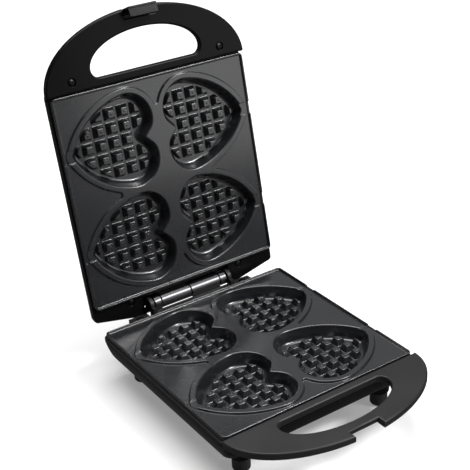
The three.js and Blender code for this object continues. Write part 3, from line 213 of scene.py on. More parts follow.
def finish(name, colour, roughness, metallic=0.0, grain=0.0, grain_scale=900.0, mottle=0.1,
           specks=0.0, coat=0.0, coat_roughness=0.25, brushed=None, specular=0.5):
    """Node material: a base colour mottled by slow noise, a roughness that wanders with it, light
    specks at the middles of small cells, and a bump from fine grain, which is drawn out into long
    scratches along one axis where the finish is brushed."""
    material = bpy.data.materials.new(name)
    material.use_nodes = True
    nodes, links = material.node_tree.nodes, material.node_tree.links
    shader = nodes["Principled BSDF"]
    shader.inputs["Metallic"].default_value = metallic
    shader.inputs["Coat Weight"].default_value = coat
    shader.inputs["Coat Roughness"].default_value = coat_roughness
    shader.inputs["Specular IOR Level"].default_value = specular
    place = nodes.new("ShaderNodeTexCoord")

    def noise(scale, detail, stretch=None):
        texture = nodes.new("ShaderNodeTexNoise")
        texture.inputs["Scale"].default_value = scale
        texture.inputs["Detail"].default_value = detail
        if stretch:
            mapping = nodes.new("ShaderNodeMapping")
            mapping.inputs["Scale"].default_value = stretch
            links.new(place.outputs["Object"], mapping.inputs["Vector"])
            links.new(mapping.outputs["Vector"], texture.inputs["Vector"])
        else:
            links.new(place.outputs["Object"], texture.inputs["Vector"])
        return texture.outputs["Fac"]

    def spread(value, low, high):
        ramp = nodes.new("ShaderNodeMapRange")
        ramp.inputs["From Min"].default_value = NOISE_LOW
        ramp.inputs["From Max"].default_value = NOISE_HIGH
        ramp.inputs["To Min"].default_value = low
        ramp.inputs["To Max"].default_value = high
        links.new(value, ramp.inputs["Value"])
        return ramp.outputs["Result"]

    slow = noise(SLOW_SCALE, SLOW_DETAIL)
    mix = nodes.new("ShaderNodeMix")
    mix.data_type = "RGBA"
    mix.inputs["A"].default_value = [c * (1 - mottle) for c in colour] + [1]
    mix.inputs["B"].default_value = [min(1.0, c * (1 + mottle)) for c in colour] + [1]
    links.new(spread(slow, 0.0, 1.0), mix.inputs["Factor"])
    result = mix.outputs["Result"]
    if specks:
        dots = nodes.new("ShaderNodeTexVoronoi")
        dots.inputs["Scale"].default_value = SPECK_SCALE
        links.new(place.outputs["Object"], dots.inputs["Vector"])
        edge = nodes.new("ShaderNodeMapRange")
        edge.inputs["From Min"].default_value = SPECK_CORE
        edge.inputs["From Max"].default_value = SPECK_EDGE
        edge.inputs["To Min"].default_value = specks
        edge.inputs["To Max"].default_value = 0.0
        links.new(dots.outputs["Distance"], edge.inputs["Value"])
        light = nodes.new("ShaderNodeMix")
        light.data_type = "RGBA"
        light.inputs["B"].default_value = [min(1.0, c * 3 + 0.05) for c in colour] + [1]
        links.new(result, light.inputs["A"])
        links.new(edge.outputs["Result"], light.inputs["Factor"])
        result = light.outputs["Result"]
    links.new(result, shader.inputs["Base Color"])
    gloss = spread(slow, roughness * GLOSS_LOW, roughness * GLOSS_HIGH)
    links.new(gloss, shader.inputs["Roughness"])
    if grain:
        bump = nodes.new("ShaderNodeBump")
        bump.inputs["Strength"].default_value = grain
        bump.inputs["Distance"].default_value = GRAIN_DEPTH
        stretch = brushed and tuple(SCRATCH_SCALE if axis == brushed else 1.0 for axis in "xyz")
        links.new(noise(grain_scale, GRAIN_DETAIL, stretch), bump.inputs["Height"])
        links.new(bump.outputs["Normal"], shader.inputs["Normal"])
    return material


# %% Finishes of the iron
FINISHES = {
    "handle_grey": finish("grey_satin_plastic", (0.0105, 0.0105, 0.011), 0.42, grain=0.2,
                          specular=0.28),
    "housing_black": finish("black_satin_plastic", (0.003, 0.003, 0.0032), 0.24, grain=0.1,
                            specular=0.09),
    "non_stick": finish("non_stick_coat", (0.0095, 0.01, 0.0115), 0.27, grain=0.1,
                        grain_scale=700.0, specks=0.1, coat=0.6, coat_roughness=0.13),
    "hinge_steel": finish("dark_plated_steel", (0.085, 0.085, 0.088), 0.3, metallic=1.0,
                          grain=0.15, brushed="x", grain_scale=2200.0),
    "fastener_steel": finish("blackened_steel", (0.03, 0.03, 0.03), 0.34, metallic=1.0, grain=0.1),
    "heater_steel": finish("bare_steel", (0.5, 0.49, 0.47), 0.38, metallic=1.0, grain=0.15,
                           mottle=0.2),
    "rubber": finish("black_rubber", (0.012, 0.012, 0.012), 0.7, grain=0.4, grain_scale=600.0),
    "ceramic": finish("steatite", (0.74, 0.7, 0.62), 0.6, grain=0.2),
    "red_lens": finish("red_lens", (0.42, 0.012, 0.008), 0.12, coat=0.5, mottle=0.03),
    "green_lens": finish("green_lens", (0.015, 0.24, 0.045), 0.12, coat=0.5, mottle=0.03),
    "lamp_glass": finish("lamp_glass", (0.8, 0.82, 0.8), 0.08, mottle=0.02),
}
floor_finish = finish("pale_floor", (0.75, 0.75, 0.75), 0.8, mottle=0.01)
floor_shader = floor_finish.node_tree.nodes["Principled BSDF"]
floor_shader.inputs["Emission Color"].default_value = (1, 1, 1, 1)
floor_shader.inputs["Emission Strength"].default_value = FLOOR_GLOW
floor.data.materials.append(floor_finish)

slot_of = {part["node"]: part["material_slot"] for part in frame["record"]["subparts"]}
for node, obj in frame["nodes"].items():
    obj.data.materials.clear()
    obj.data.materials.append(FINISHES[slot_of[node]])
print("finishes", len(FINISHES))

# %% [markdown]
# ## Surfaces from numbers
#
# Cast and moulded pieces have no sharp edges: each edge is a round or a fillet that catches the
# light. A Bevel modifier could make them, but it goes wrong where many short edges meet. Here
# every piece is one or more closed skins. A skin is a stack of rings with the same number of
# points, joined by four-sided faces, and its ends are filled flat. The rings are worked out as
# whole arrays, so a rounded edge is only a few more rings.

# %% A skin of rings


class Skin:
    """Points and faces of one piece, gathered in drawing millimetres."""

    def __init__(self):
        self.points, self.faces, self.count = [], [], 0

    def place(self, points):
        """Adds an array of points and gives their numbers in the same shape."""
        points = np.asarray(points, float)
        numbers = self.count + np.arange(points[..., 0].size).reshape(points.shape[:-1])
        self.points.append(points.reshape(-1, 3))
        self.count += numbers.size
        return numbers

    def wall(self, rings):
        """Four-sided faces between neighbouring rings: point i of ring k meets point i of ring
        k + 1, and the last point of a ring meets its first."""
        numbers = self.place(rings)
        after = np.roll(numbers, -1, axis=1)
        quads = np.stack([numbers[:-1], after[:-1], after[1:], numbers[1:]], -1)
        self.faces += quads.reshape(-1, 4).tolist()
        return numbers

    def cap(self, *loops):
        """Flat face inside the first loop of point numbers and outside the other loops."""
        points = np.concatenate(self.points)
        outlines = [[Vector(p) for p in points[loop].tolist()] for loop in loops]
        numbers = np.concatenate(loops)
        self.faces += [[int(numbers[i]) for i in three] for three in tessellate_polygon(outlines)]

    def tube(self, rings):
        """Wall with both ends filled."""
        numbers = self.wall(rings)
        self.cap(numbers[0])
        self.cap(numbers[-1])
        return self

    def moved(self, change):
        """The same skin with its points changed by a function."""
        self.points = [change(np.concatenate(self.points))]
        return self

    def join(self, other):
        """Adds another skin's points and faces."""
        self.faces += [[i + self.count for i in face] for face in other.faces]
        self.points += other.points
        self.count += other.count
        return self


# %% From a skin to a piece
SHARP = math.radians(38)


def skin_mesh(name, skin, place):
    """Mesh from a skin: its points go to the row frame, and its faces are turned outwards."""
    mesh = bpy.data.meshes.new(name)
    mesh.from_pydata(place(np.concatenate(skin.points)).tolist(), [], skin.faces)
    work = bmesh.new()
    work.from_mesh(mesh)
    bmesh.ops.recalc_face_normals(work, faces=work.faces)
    work.to_mesh(mesh)
    work.free()
    return mesh


def shade(mesh):
    """Smooth shading, except on edges that fold by more than the sharp angle."""
    mesh.shade_smooth()
    mesh.set_sharp_from_angle(angle=SHARP)


def add_piece(name, skin, place, body, slot, stands_for):
    """Object from a skin, in a slot's finish. It rides on a body and stands for some solids."""
    mesh = skin_mesh(name, skin, place)
    shade(mesh)
    mesh.materials.append(FINISHES[slot])
    obj = bpy.data.objects.new(name, mesh)
    bpy.context.scene.collection.objects.link(obj)
    even = obj.modifiers.new("even_shading", "WEIGHTED_NORMAL")
    even.keep_sharp = True
    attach(obj, body)
    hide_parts(*stands_for)
    print(name, len(mesh.polygons), "faces")
    return obj


# %% [markdown]
# ## Outlines
#
# Most pieces of the iron are flat shapes with a thickness, so each starts as an outline: a closed
# row of points in the plane, anticlockwise. Moving every point to the left of its two edges draws
# the same outline smaller, which is what a rounded edge needs.

# %% Outlines


def arc(cx, cy, radius, start, end, step):
    """Points of an arc, centre plus radius times cosine and sine, without the last one."""
    count = max(1, round(abs(end - start) / step))
    angle = np.linspace(start, end, count, endpoint=False)
    return np.stack([cx + radius * np.cos(angle), cy + radius * np.sin(angle)], 1)


def drawn_in(loop, distance):
    """The loop with every point moved to its left: by the sum of its two edges' unit normals,
    over one plus their dot product, times the distance."""
    edge = np.roll(loop, -1, 0) - loop
    normal = np.stack([-edge[:, 1], edge[:, 0]], 1) / np.linalg.norm(edge, axis=1)[:, None]
    before = np.roll(normal, 1, 0)
    share = 1 + (normal * before).sum(1)
    return loop + distance * (normal + before) / share[:, None]


def filleted(corners, radius, steps=6):
    """Polygon with each corner replaced by an arc of its radius: the arc starts and ends at
    radius times the tangent of half the turn from the corner."""
    corners = np.asarray(corners, float)
    radius = np.broadcast_to(np.asarray(radius, float), len(corners))
    into = corners - np.roll(corners, 1, 0)
    into /= np.linalg.norm(into, axis=1)[:, None]
    out = np.roll(into, -1, 0)
    turn = np.arctan2(into[:, 0] * out[:, 1] - into[:, 1] * out[:, 0], (into * out).sum(1))
    side = np.sign(turn)
    left = np.stack([-into[:, 1], into[:, 0]], 1) * side[:, None]
    start = corners - into * (radius * np.tan(np.abs(turn) / 2))[:, None]
    centre = start + left * radius[:, None]
    angle = np.abs(turn)[:, None] * np.linspace(0, 1, steps + 1)
    ray = (-left[:, None] * np.cos(angle)[..., None] + into[:, None] * np.sin(angle)[..., None])
    return (centre[:, None] + radius[:, None, None] * ray).reshape(-1, 2)


def rectangle(half_width, front, rear, radius, steps=8):
    """Rectangle with round corners, anticlockwise."""
    corners = [(half_width, front), (half_width, rear), (-half_width, rear), (-half_width, front)]
    return filleted(corners, radius, steps)


def circle(cx, cy, radius, count=32):
    """Circle of points, anticlockwise."""
    return arc(cx, cy, radius, 0, 2 * math.pi, 2 * math.pi / count)


def raised(loop, height):
    """Flat points given a height, the same for all or one for each."""
    return np.column_stack([loop, np.broadcast_to(height, len(loop))])


# %% Slabs with rounded edges


def edge_round(radius, steps=5):
    """Rounded edge from the flat face to the side: inset r (1 - sin a) and drop r (1 - cos a)."""
    if not radius:
        return np.zeros((1, 2))
    angle = np.linspace(0, math.pi / 2, steps + 1)
    return radius * np.stack([1 - np.sin(angle), 1 - np.cos(angle)], 1)


def side_rings(loop, bottom, top, low, high):
    """Rings down the side of a slab, with its upper and lower edges rounded."""
    above = [raised(drawn_in(loop, i), top - d) for i, d in edge_round(high)]
    below = [raised(drawn_in(loop, i), bottom + d) for i, d in edge_round(low)]
    return above + below[::-1]


def slab(outer, bottom, top, low=0.0, high=0.0, holes=(), wells=()):
    """Solid between two heights: `holes` are (loop, low round, high round) right through it, and
    `wells` are (loop, depth, high round) with a flat floor."""
    skin = Skin()
    rings = skin.wall(side_rings(outer, bottom, top, low, high))
    upper, lower = [rings[0]], [rings[-1]]
    for loop, hole_low, hole_high in holes:
        rings = skin.wall(side_rings(loop[::-1], bottom, top, hole_low, hole_high))
        upper.append(rings[0])
        lower.append(rings[-1])
    for loop, depth, well_high in wells:
        rings = skin.wall(side_rings(loop[::-1], top - depth, top, 0, well_high))
        upper.append(rings[0])
        skin.cap(rings[-1])
    skin.cap(*upper)
    skin.cap(*lower)
    return skin


def profile(corners, radii, steps=5):
    """Height over distance, a polyline with rounded corners, as two arrays; the ends stay."""
    line = filleted(corners, [0, *radii, 0], steps).reshape(len(corners), steps + 1, 2)
    inner = line[1:-1].reshape(-1, 2)
    curve = np.concatenate([corners[:1], inner, corners[-1:]])
    order = np.argsort(curve[:, 0])
    return curve[order, 0], curve[order, 1]

# %% [markdown]
# ## The cast plates
#
# A plate is cast in one piece: a rim round it, a raised land round the four hearts, and a mould
# for each heart. Its face has one height over every point, so it can be a height field. On a plain
# square grid the curved walls of the hearts would come out as stairs. So all outlines of the form
# go into one triangulation that keeps every outline as an edge, and the height of each point
# follows from its distance to the outlines.
#
# A heart is drawn from arcs: a notch, a lobe, a long side and a tip. Growing it only changes their
# radii, so the lip, the wall's foot and the pegs' edge are all the same heart at other distances.

# %% Outline of the heart
HEART_AXIS, TIP_MARGIN = 44.6, 8.5
LOBE = (29.7, 17.6, 24.0)
LOBE_END = math.radians(81.5)
SIDE_RADIUS, TIP_RADIUS = 72.0, 5.7
NOTCH_RADIUS, WEDGE_RADIUS = 14.0, 1.2
NOTCH_START, NOTCH_END = math.radians(190), math.radians(225)

side_x = LOBE[0] - (SIDE_RADIUS - LOBE[2]) * math.cos(LOBE_END)
side_y = LOBE[1] - (SIDE_RADIUS - LOBE[2]) * math.sin(LOBE_END)
notch_x = LOBE[0] + (LOBE[2] - NOTCH_RADIUS) * math.cos(NOTCH_START)
notch_y = LOBE[1] + (LOBE[2] - NOTCH_RADIUS) * math.sin(NOTCH_START)
tip_x = side_x + math.sqrt((SIDE_RADIUS - TIP_RADIUS) ** 2 - side_y ** 2)
heart_scale = (HALF - TIP_MARGIN) / (tip_x + TIP_RADIUS)
heart_axis = HEART_AXIS * heart_scale


def heart(distance, step=math.radians(4)):
    """Outline of one heart, its tip to +X, grown by a distance: arcs of the same centres with
    their radii changed by it. The two halves meet in a small round at the notch."""
    grow = distance / heart_scale
    tip = max(TIP_RADIUS + grow, WEDGE_RADIUS / 4)
    tip_centre = side_x + math.sqrt((SIDE_RADIUS + grow - tip) ** 2 - side_y ** 2)
    tip_turn = math.atan2(-side_y, tip_centre - side_x)
    wedge = max(WEDGE_RADIUS - grow, WEDGE_RADIUS / 4)
    reach = NOTCH_RADIUS + grow + wedge + notch_y * math.sin(NOTCH_END)
    wedge_x = notch_x + reach / math.cos(NOTCH_END)
    upper = np.concatenate([
        arc(wedge_x, 0, wedge, 0, NOTCH_END - math.pi, math.radians(15)),
        arc(notch_x, notch_y, NOTCH_RADIUS + grow, NOTCH_END, NOTCH_START, step),
        arc(LOBE[0], LOBE[1], LOBE[2] + grow, NOTCH_START, LOBE_END, step),
        arc(side_x, side_y, SIDE_RADIUS + grow, LOBE_END, tip_turn, step / 2),
        arc(tip_centre, 0, tip, tip_turn, 0, math.radians(8)),
        [(tip_centre + tip, 0)],
    ])
    lower = upper[1:-1] * (1, -1)
    return heart_scale * np.concatenate([upper, lower[::-1]])[::-1]


LAND_WIDTH, LAND_HEIGHT, LAND_DRAFT, LAND_FILLET = 4.8, 2.0, 0.6, 3.0


def land(distance, step=math.radians(4)):
    """Outline of the land round all four hearts, grown by a distance: arcs of the hearts' own
    centres, with a fillet where two hearts meet. One quarter is worked out and mirrored."""
    grow = distance / heart_scale
    lobe, side = LOBE[2] + grow, SIDE_RADIUS + grow
    fillet = (LAND_FILLET + LAND_WIDTH - distance) / heart_scale
    lobe_y = HEART_AXIS + LOBE[1]
    front_y = lobe_y + math.sqrt((lobe + fillet) ** 2 - LOBE[0] ** 2)
    front_angle = math.atan2(front_y - lobe_y, -LOBE[0])
    outer_y, inner_y = HEART_AXIS + side_y, HEART_AXIS - side_y
    fillet_x = side_x + math.sqrt((side + fillet) ** 2 - inner_y ** 2)
    side_angle = math.atan2(inner_y, fillet_x - side_x)
    tip_angle = math.atan2(-side_y, tip_x - side_x)
    quarter = np.concatenate([
        arc(fillet_x, 0, fillet, math.pi, math.pi - side_angle, math.radians(8)),
        arc(side_x, inner_y, side, -side_angle, -tip_angle, step / 2),
        arc(tip_x, HEART_AXIS, TIP_RADIUS + grow, -tip_angle, tip_angle, math.radians(8)),
        arc(side_x, outer_y, side, tip_angle, LOBE_END, step / 2),
        arc(LOBE[0], lobe_y, lobe, LOBE_END, front_angle, step),
        arc(0, front_y, fillet, front_angle - math.pi, -math.pi / 2, math.radians(8)),
        [(0, front_y - fillet)],
    ])
    rear = np.concatenate([quarter, (quarter[:-1] * (-1, 1))[::-1]])
    return heart_scale * np.concatenate([rear, (rear[1:-1] * (1, -1))[::-1]])


print("heart scale", round(heart_scale, 4), "points", len(heart(0)), "land", len(land(LAND_WIDTH)))

# %% [markdown]
# The mould's wall, the land's slope and the rim each have one section all the way round. So the
# height is a rounded polyline over the distance to an outline, and the outlines are drawn at
# exactly the distances where that line bends. The outer ends of each line only have to lie well
# past its bends.

# %% Distances


def nearest(points, loop, batch=4000):
    """Signed distance of points to a closed loop, negative inside, and the way out of it. The
    nearest point of each edge is its start plus a share between 0 and 1 of the edge, and a point
    lies inside where a line from it crosses the loop an odd number of times."""
    start, edge = loop, np.roll(loop, -1, 0) - loop
    length = (edge ** 2).sum(1)
    results = []
    for p in np.array_split(points, max(1, len(points) // batch)):
        gap = p[:, None] - start
        share = np.clip((gap * edge).sum(2) / length, 0, 1)
        gap -= share[..., None] * edge
        far = (gap ** 2).sum(2)
        best = far.argmin(1)
        distance = np.sqrt(far[np.arange(len(p)), best])
        x, y = p[:, :1], p[:, 1:]
        end = start + edge
        straddles = (start[:, 1] > y) != (end[:, 1] > y)
        rise = np.where(edge[:, 1] == 0, 1, edge[:, 1])
        crosses = straddles & (x < start[:, 0] + edge[:, 0] * (y - start[:, 1]) / rise)
        sign = np.where(crosses.sum(1) % 2, -1.0, 1.0)
        way = sign[:, None] * gap[np.arange(len(p)), best] / np.maximum(distance, 1e-9)[:, None]
        results.append(np.column_stack([sign * distance, way]))
    result = np.concatenate(results)
    return result[:, 0], result[:, 1:]


def square_distance(points, half, radius):
    """Signed distance to a square with round corners: length of the outside part of |p| less the
    half side, plus the inside part, less the corner's radius."""
    over = np.abs(points) - (half - radius)
    return (np.linalg.norm(np.maximum(over, 0), axis=1)
            + np.minimum(over.max(1), 0) - radius)


# %% Sections of the plate
MOULD_DEPTH, MOULD_DRAFT, MOULD_LIP = 12.0, 3.4, 0.21
RIM_WIDTH, PLATE_CORNER, PLATE_EDGE = 1.5, 4.0, 4.5
GROOVE_HALF, GROOVE_DEPTH, GROOVE_DRAFT = 5.7, 1.2, 0.1
EDGE_ROUND = 0.5
WALL_ROUNDS, LAND_ROUNDS = (3.2, 1.2), (0.8, 0.5)
RIM_ROUNDS, GROOVE_ROUNDS = (0.8, 0.4), (0.3, 0.3)
wall_line = profile([(-16, -MOULD_DEPTH), (-MOULD_DRAFT, -MOULD_DEPTH), (-MOULD_LIP, 0), (12, 0)],
                    WALL_ROUNDS, 7)
land_line = profile([(-9, 0), (0, 0), (LAND_DRAFT, -LAND_HEIGHT), (12, -LAND_HEIGHT)],
                    LAND_ROUNDS)
rim_line = profile([(-9, -LAND_HEIGHT), (-LAND_DRAFT, -LAND_HEIGHT), (0, 0), (9, 0)],
                   RIM_ROUNDS)
groove_line = profile([(-1, -GROOVE_DEPTH), (GROOVE_HALF - GROOVE_DRAFT, -GROOVE_DEPTH),
                       (GROOVE_HALF + GROOVE_DRAFT, 0), (12, 0)], GROOVE_ROUNDS, 3)
groove_start = tip_x * heart_scale
print("bends", *(len(line[0]) - 2 for line in (wall_line, land_line, rim_line, groove_line)))

# %% Height of the face


def face_height(points):
    """Height of the plate's face: the higher of land and rim, or the mould's wall or the groove
    through land and rim where these are lower, less the round r - sqrt(r^2 - (r - inset)^2) of
    the outer edge."""
    folded = np.abs(points)
    from_axis = folded - (0, heart_axis)
    on_land = np.interp(nearest(folded, land(LAND_WIDTH))[0], *land_line)
    on_rim = np.interp(square_distance(points, HALF - RIM_WIDTH, PLATE_CORNER / 2), *rim_line)
    mould = np.interp(nearest(from_axis, heart(0))[0], *wall_line)
    groove = np.interp(np.abs(from_axis[:, 1]), *groove_line)
    groove[folded[:, 0] < groove_start] = 0
    inset = np.clip(-square_distance(points, HALF, PLATE_CORNER), 0, EDGE_ROUND)
    drop = EDGE_ROUND - np.sqrt(EDGE_ROUND ** 2 - (EDGE_ROUND - inset) ** 2)
    return np.minimum.reduce([np.maximum(on_land, on_rim), mould, groove]) - drop


# %% Triangles that keep the outlines
MERGING = 1e-4


def triangles(loops, lines=()):
    """Triangulation of flat loops and open lines that keeps all of their edges. Points that lie
    within a merging distance of each other become one."""
    points, edges, start = [], [], 0
    for loop, closed in [(one, True) for one in loops] + [(one, False) for one in lines]:
        numbers = start + np.arange(len(loop))
        joined = np.column_stack([numbers, np.roll(numbers, -1)])
        edges += (joined if closed else joined[:-1]).tolist()
        points += np.asarray(loop).tolist()
        start += len(loop)
    made = delaunay_2d_cdt([Vector(p) for p in points], edges, [], 0, MERGING, False)
    return np.array([tuple(p) for p in made[0]]), np.array(made[2])


def outer_loop(faces):
    """Numbers along the rim of a triangulation: the edges of only one triangle, in order."""
    edges = np.concatenate([faces[:, (0, 1)], faces[:, (1, 2)], faces[:, (2, 0)]])
    known = {tuple(edge) for edge in edges.tolist()}
    after = {a: b for a, b in known if (b, a) not in known}
    loop = [next(iter(after))]
    while after[loop[-1]] != loop[0]:
        loop.append(after[loop[-1]])
    return np.array(loop)


QUARTERS = [(sx, sy) for sx in (-1, 1) for sy in (-1, 1)]


def placed(loop, sx, sy):
    """A heart's outline at its place: turned round for the left side, and moved along Y."""
    return loop * sx + (0, sy * heart_axis)


def square(inset, radius):
    """Outline of the plate drawn in by an inset."""
    return rectangle(HALF - inset, inset - HALF, HALF - inset, radius, 6)


# %% Face of the plate
EDGE_INSETS = (0, 0.04, 0.15, 0.3, EDGE_ROUND)
wall_bends, land_bends, rim_bends = (line[0][1:-1] for line in (wall_line, land_line, rim_line))
loops = [square(inset, PLATE_CORNER - inset) for inset in EDGE_INSETS]
loops += [square(RIM_WIDTH - d, PLATE_CORNER / 2 + d) for d in rim_bends]
loops += [land(LAND_WIDTH + d) for d in land_bends]
loops += [placed(heart(d), sx, sy) for d in wall_bends for sx, sy in QUARTERS]
lines = [[(sx * groove_start, sy * heart_axis + v), (sx * HALF, sy * heart_axis + v)]
         for sx, sy in QUARTERS for d in groove_line[0][1:-1] for v in (-d, d)]
face_xy, face_triangles = triangles(loops, lines)
face_z = face_height(face_xy)
edge_loop = outer_loop(face_triangles)
print("face", len(face_xy), "points", len(face_triangles), "triangles, edge", len(edge_loop))

# %% [markdown]
# Under the face the casting follows each mould with a wall of even thickness, and four bosses take
# the screws of the reflector. A Solidify modifier could make this wall, but it would carry every
# fine edge of the face to a side that is never seen in use. So it is a coarser height field with
# the same outer edge.

# %% Underside of the plate
MOULD_WALL = 2.4
POD_DEPTH = MOULD_DEPTH + MOULD_WALL
BOSS_PLACE, BOSS_RADIUS, BOSS_DRAFT, BOSS_DEPTH = HALF - 18, 4.0, 0.1, 21.1
pod_line = (np.array([-20, MOULD_WALL - MOULD_DRAFT, MOULD_WALL, 20]),
            np.array([-POD_DEPTH, -POD_DEPTH, -PLATE_EDGE, -PLATE_EDGE]))
boss_line = (np.array([0, BOSS_RADIUS, BOSS_RADIUS + BOSS_DRAFT, 300]),
             np.array([-BOSS_DEPTH, -BOSS_DEPTH, 0, 0]))
COARSE = math.radians(9)
under_loops = [face_xy[edge_loop]]
under_loops += [placed(heart(d, COARSE), sx, sy) for d in pod_line[0][1:-1] for sx, sy in QUARTERS]
under_loops += [circle(sx * BOSS_PLACE, sy * BOSS_PLACE, d, 16)
                for d in boss_line[0][1:-1] for sx, sy in QUARTERS]
under_xy, under_triangles = triangles(under_loops)
folded = np.abs(under_xy)
pods = np.interp(nearest(folded - (0, heart_axis), heart(0, COARSE))[0], *pod_line)
bosses = np.interp(np.linalg.norm(folded - BOSS_PLACE, axis=1), *boss_line)
under_z = np.minimum(pods, bosses)
print("underside", len(under_triangles), "triangles")

# %% [markdown]
# ## The pegs
#
# The pegs stand in rows on the mould's floor. Each is a square stump with rounded edges, a fillet
# at its foot, a round along its top and a small nib in the middle of the top. Those three catch
# the light as thin lines and a dot.
#
# The pegs near the wall are cut off along it. A boolean with the heart could do that, but it would
# leave the cut edge sharp. Here a point of a peg that lies outside the inner heart is moved back
# onto it by the shortest way, so the cut side keeps its fillet and its round.

# %% Places of the pegs
PEG_PITCH, PEG_FIRST, PEG_COLUMNS, PEG_ROWS = 12.9, 15.8, 6, 2
PEG_BASE, PEG_TOP, PEG_HEIGHT, PEG_MARGIN = 10.4, 6.0, 5.5, 3.6
PEG_CORNER, PEG_FOOT, PEG_ROUND, PEG_ROOT = 0.8, 0.7, 0.5, 0.3
PEG_OVER, CUT_LEAN, FLAT_RUN = 1.5, 0.1, 1.1
NIB_RADIUS, NIB_HEIGHT, NIB_SHARE = 0.95, 0.6, 0.5
NIB_ANGLES = np.radians((90, 60, 32, 8))
inner_edge = -(MOULD_DRAFT + PEG_MARGIN)
peg_grid = np.array([(PEG_FIRST + i * PEG_PITCH, j * PEG_PITCH)
                     for j in range(-PEG_ROWS, PEG_ROWS + 1) for i in range(PEG_COLUMNS)])
peg_places = peg_grid[nearest(peg_grid, heart(0))[0] < inner_edge + PEG_OVER]


def peg_square(half, corner):
    """Square with round corners about 0, with extra points along its sides: 28 in all."""
    loop = rectangle(half, -half, half, corner, 3)
    after = np.roll(loop, -1, 0)
    long = np.linalg.norm(after - loop, axis=1) > corner
    pieces = []
    for a, b, split in zip(loop, after, long):
        share = np.linspace(0, 1, 4 if split else 1, endpoint=False)
        pieces.append(a + share[:, None] * (b - a))
    return np.concatenate(pieces)


def kept_inside(points, edge):
    """Points of the pegs moved back onto the heart drawn in by `edge`: along the way out, by as
    much as they lie outside it. Three rounds settle the points near the notch and the tip."""
    flat = points.reshape(-1, 2).copy()
    for _ in range(3):
        distance, way = nearest(flat, heart(0))
        flat -= np.maximum(distance - edge, 0)[:, None] * way
    return flat.reshape(points.shape)


# %% Pegs cut along the wall
lean = (PEG_BASE - PEG_TOP) / 2 / PEG_HEIGHT
top_out = -lean * PEG_HEIGHT
peg_out, peg_up = profile([(top_out - FLAT_RUN * PEG_ROUND, PEG_HEIGHT), (top_out, PEG_HEIGHT),
                           (0, 0), (FLAT_RUN * PEG_FOOT, 0)], [PEG_ROUND, PEG_FOOT], 4)
peg_levels = [(peg_out[-2], -PEG_ROOT), *zip(peg_out[-2::-1], peg_up[-2::-1])]
peg_rings = []
for outward, height in peg_levels:
    ring = peg_places[:, None] + peg_square(PEG_BASE / 2 + outward, PEG_CORNER)
    beside_wall = outward + lean * max(height, 0)
    ring = kept_inside(ring, inner_edge + beside_wall - CUT_LEAN * max(height, 0))
    z = np.full(ring.shape[:2] + (1,), height - MOULD_DEPTH)
    peg_rings.append(np.concatenate([ring, z], 2))
top_ring = peg_rings[-1]
middle = top_ring.mean(1, keepdims=True)
room = np.linalg.norm(top_ring[..., :2] - middle[..., :2], axis=2).min(1)[:, None, None]
way = (top_ring - middle) / np.linalg.norm(top_ring - middle, axis=2, keepdims=True)
nib = np.minimum(NIB_RADIUS, NIB_SHARE * room)
for turn in NIB_ANGLES:
    ring = middle + way * nib * math.sin(turn)
    ring[..., 2:] += nib / NIB_RADIUS * NIB_HEIGHT * math.cos(turn)
    peg_rings.append(ring)
peg_rings = np.array(peg_rings).transpose(1, 0, 2, 3)
print("pegs per heart", len(peg_places), "rings", peg_rings.shape)

# %% [markdown]
# The two plates of the real iron come from the same casting mould. So the face, the side, the
# underside and the pegs are put together once, and only their places differ.

# %% Both plates


def cast_plate():
    """Face, side and underside as one closed skin, and each peg as a closed skin of its own."""
    skin = Skin()
    face = skin.place(np.column_stack([face_xy, face_z]))
    skin.faces += face[face_triangles].tolist()
    under = skin.place(np.column_stack([under_xy, under_z]))
    skin.faces += under[under_triangles][:, ::-1].tolist()
    where = {tuple(np.round(p, 4)): n for p, n in zip(under_xy, under)}
    top = face[edge_loop]
    low = np.array([where[tuple(np.round(p, 4))] for p in face_xy[edge_loop]])
    skin.faces += np.stack([top, low, np.roll(low, -1), np.roll(top, -1)], 1).tolist()
    for sx, sy in QUARTERS:
        for rings in peg_rings:
            at = rings * (sx, sx, 1) + (0, sy * heart_axis, 0)
            skin.tube(at)
    return skin


plate = cast_plate()
add_piece("lower_cast_plate", plate, to_base, "base", "non_stick", ["lower_plate"])
add_piece("upper_cast_plate", plate, to_lid, "lid", "non_stick", ["upper_plate"])

# %% [markdown]
# ## The handles
#
# Both halves end in the same D-shaped handle: half an ellipse with an arched opening for the hand
# and a notch for the latch in the middle of its front. The base has it in one moulding, and the
# lid in two, with a fine seam between the inner skin and the outer shell. All three are flat
# slabs, so one outline with a thickness and rounded edges serves for each of them.

# %% Outlines of the handle
HANDLE_OUT, HANDLE_REACH, HANDLE_FACE, HANDLE_BACK = 2.8, 60.0, 0.8, 7.4
HANDLE_NEAR, HANDLE_SHIFT = 0.8, 1.2
HANDLE_ROUND, SEAM_ROUND, NEAR_CORNER = 1.6, 0.4, 1.5
HAND_HALF, HAND_NEAR, HAND_CORNER, HAND_ARCH = 54.5, 8.5, 7.5, 26.0
NOTCH_HALF, NOTCH_BACK = 14.4, 8.5


def ellipse(cy, a, b, start, end, count):
    """Points of an ellipse about (0, cy): a times the cosine and b times the sine of an angle."""
    angle = np.linspace(start, end, count)
    return np.stack([a * np.cos(angle), cy + b * np.sin(angle)], 1)


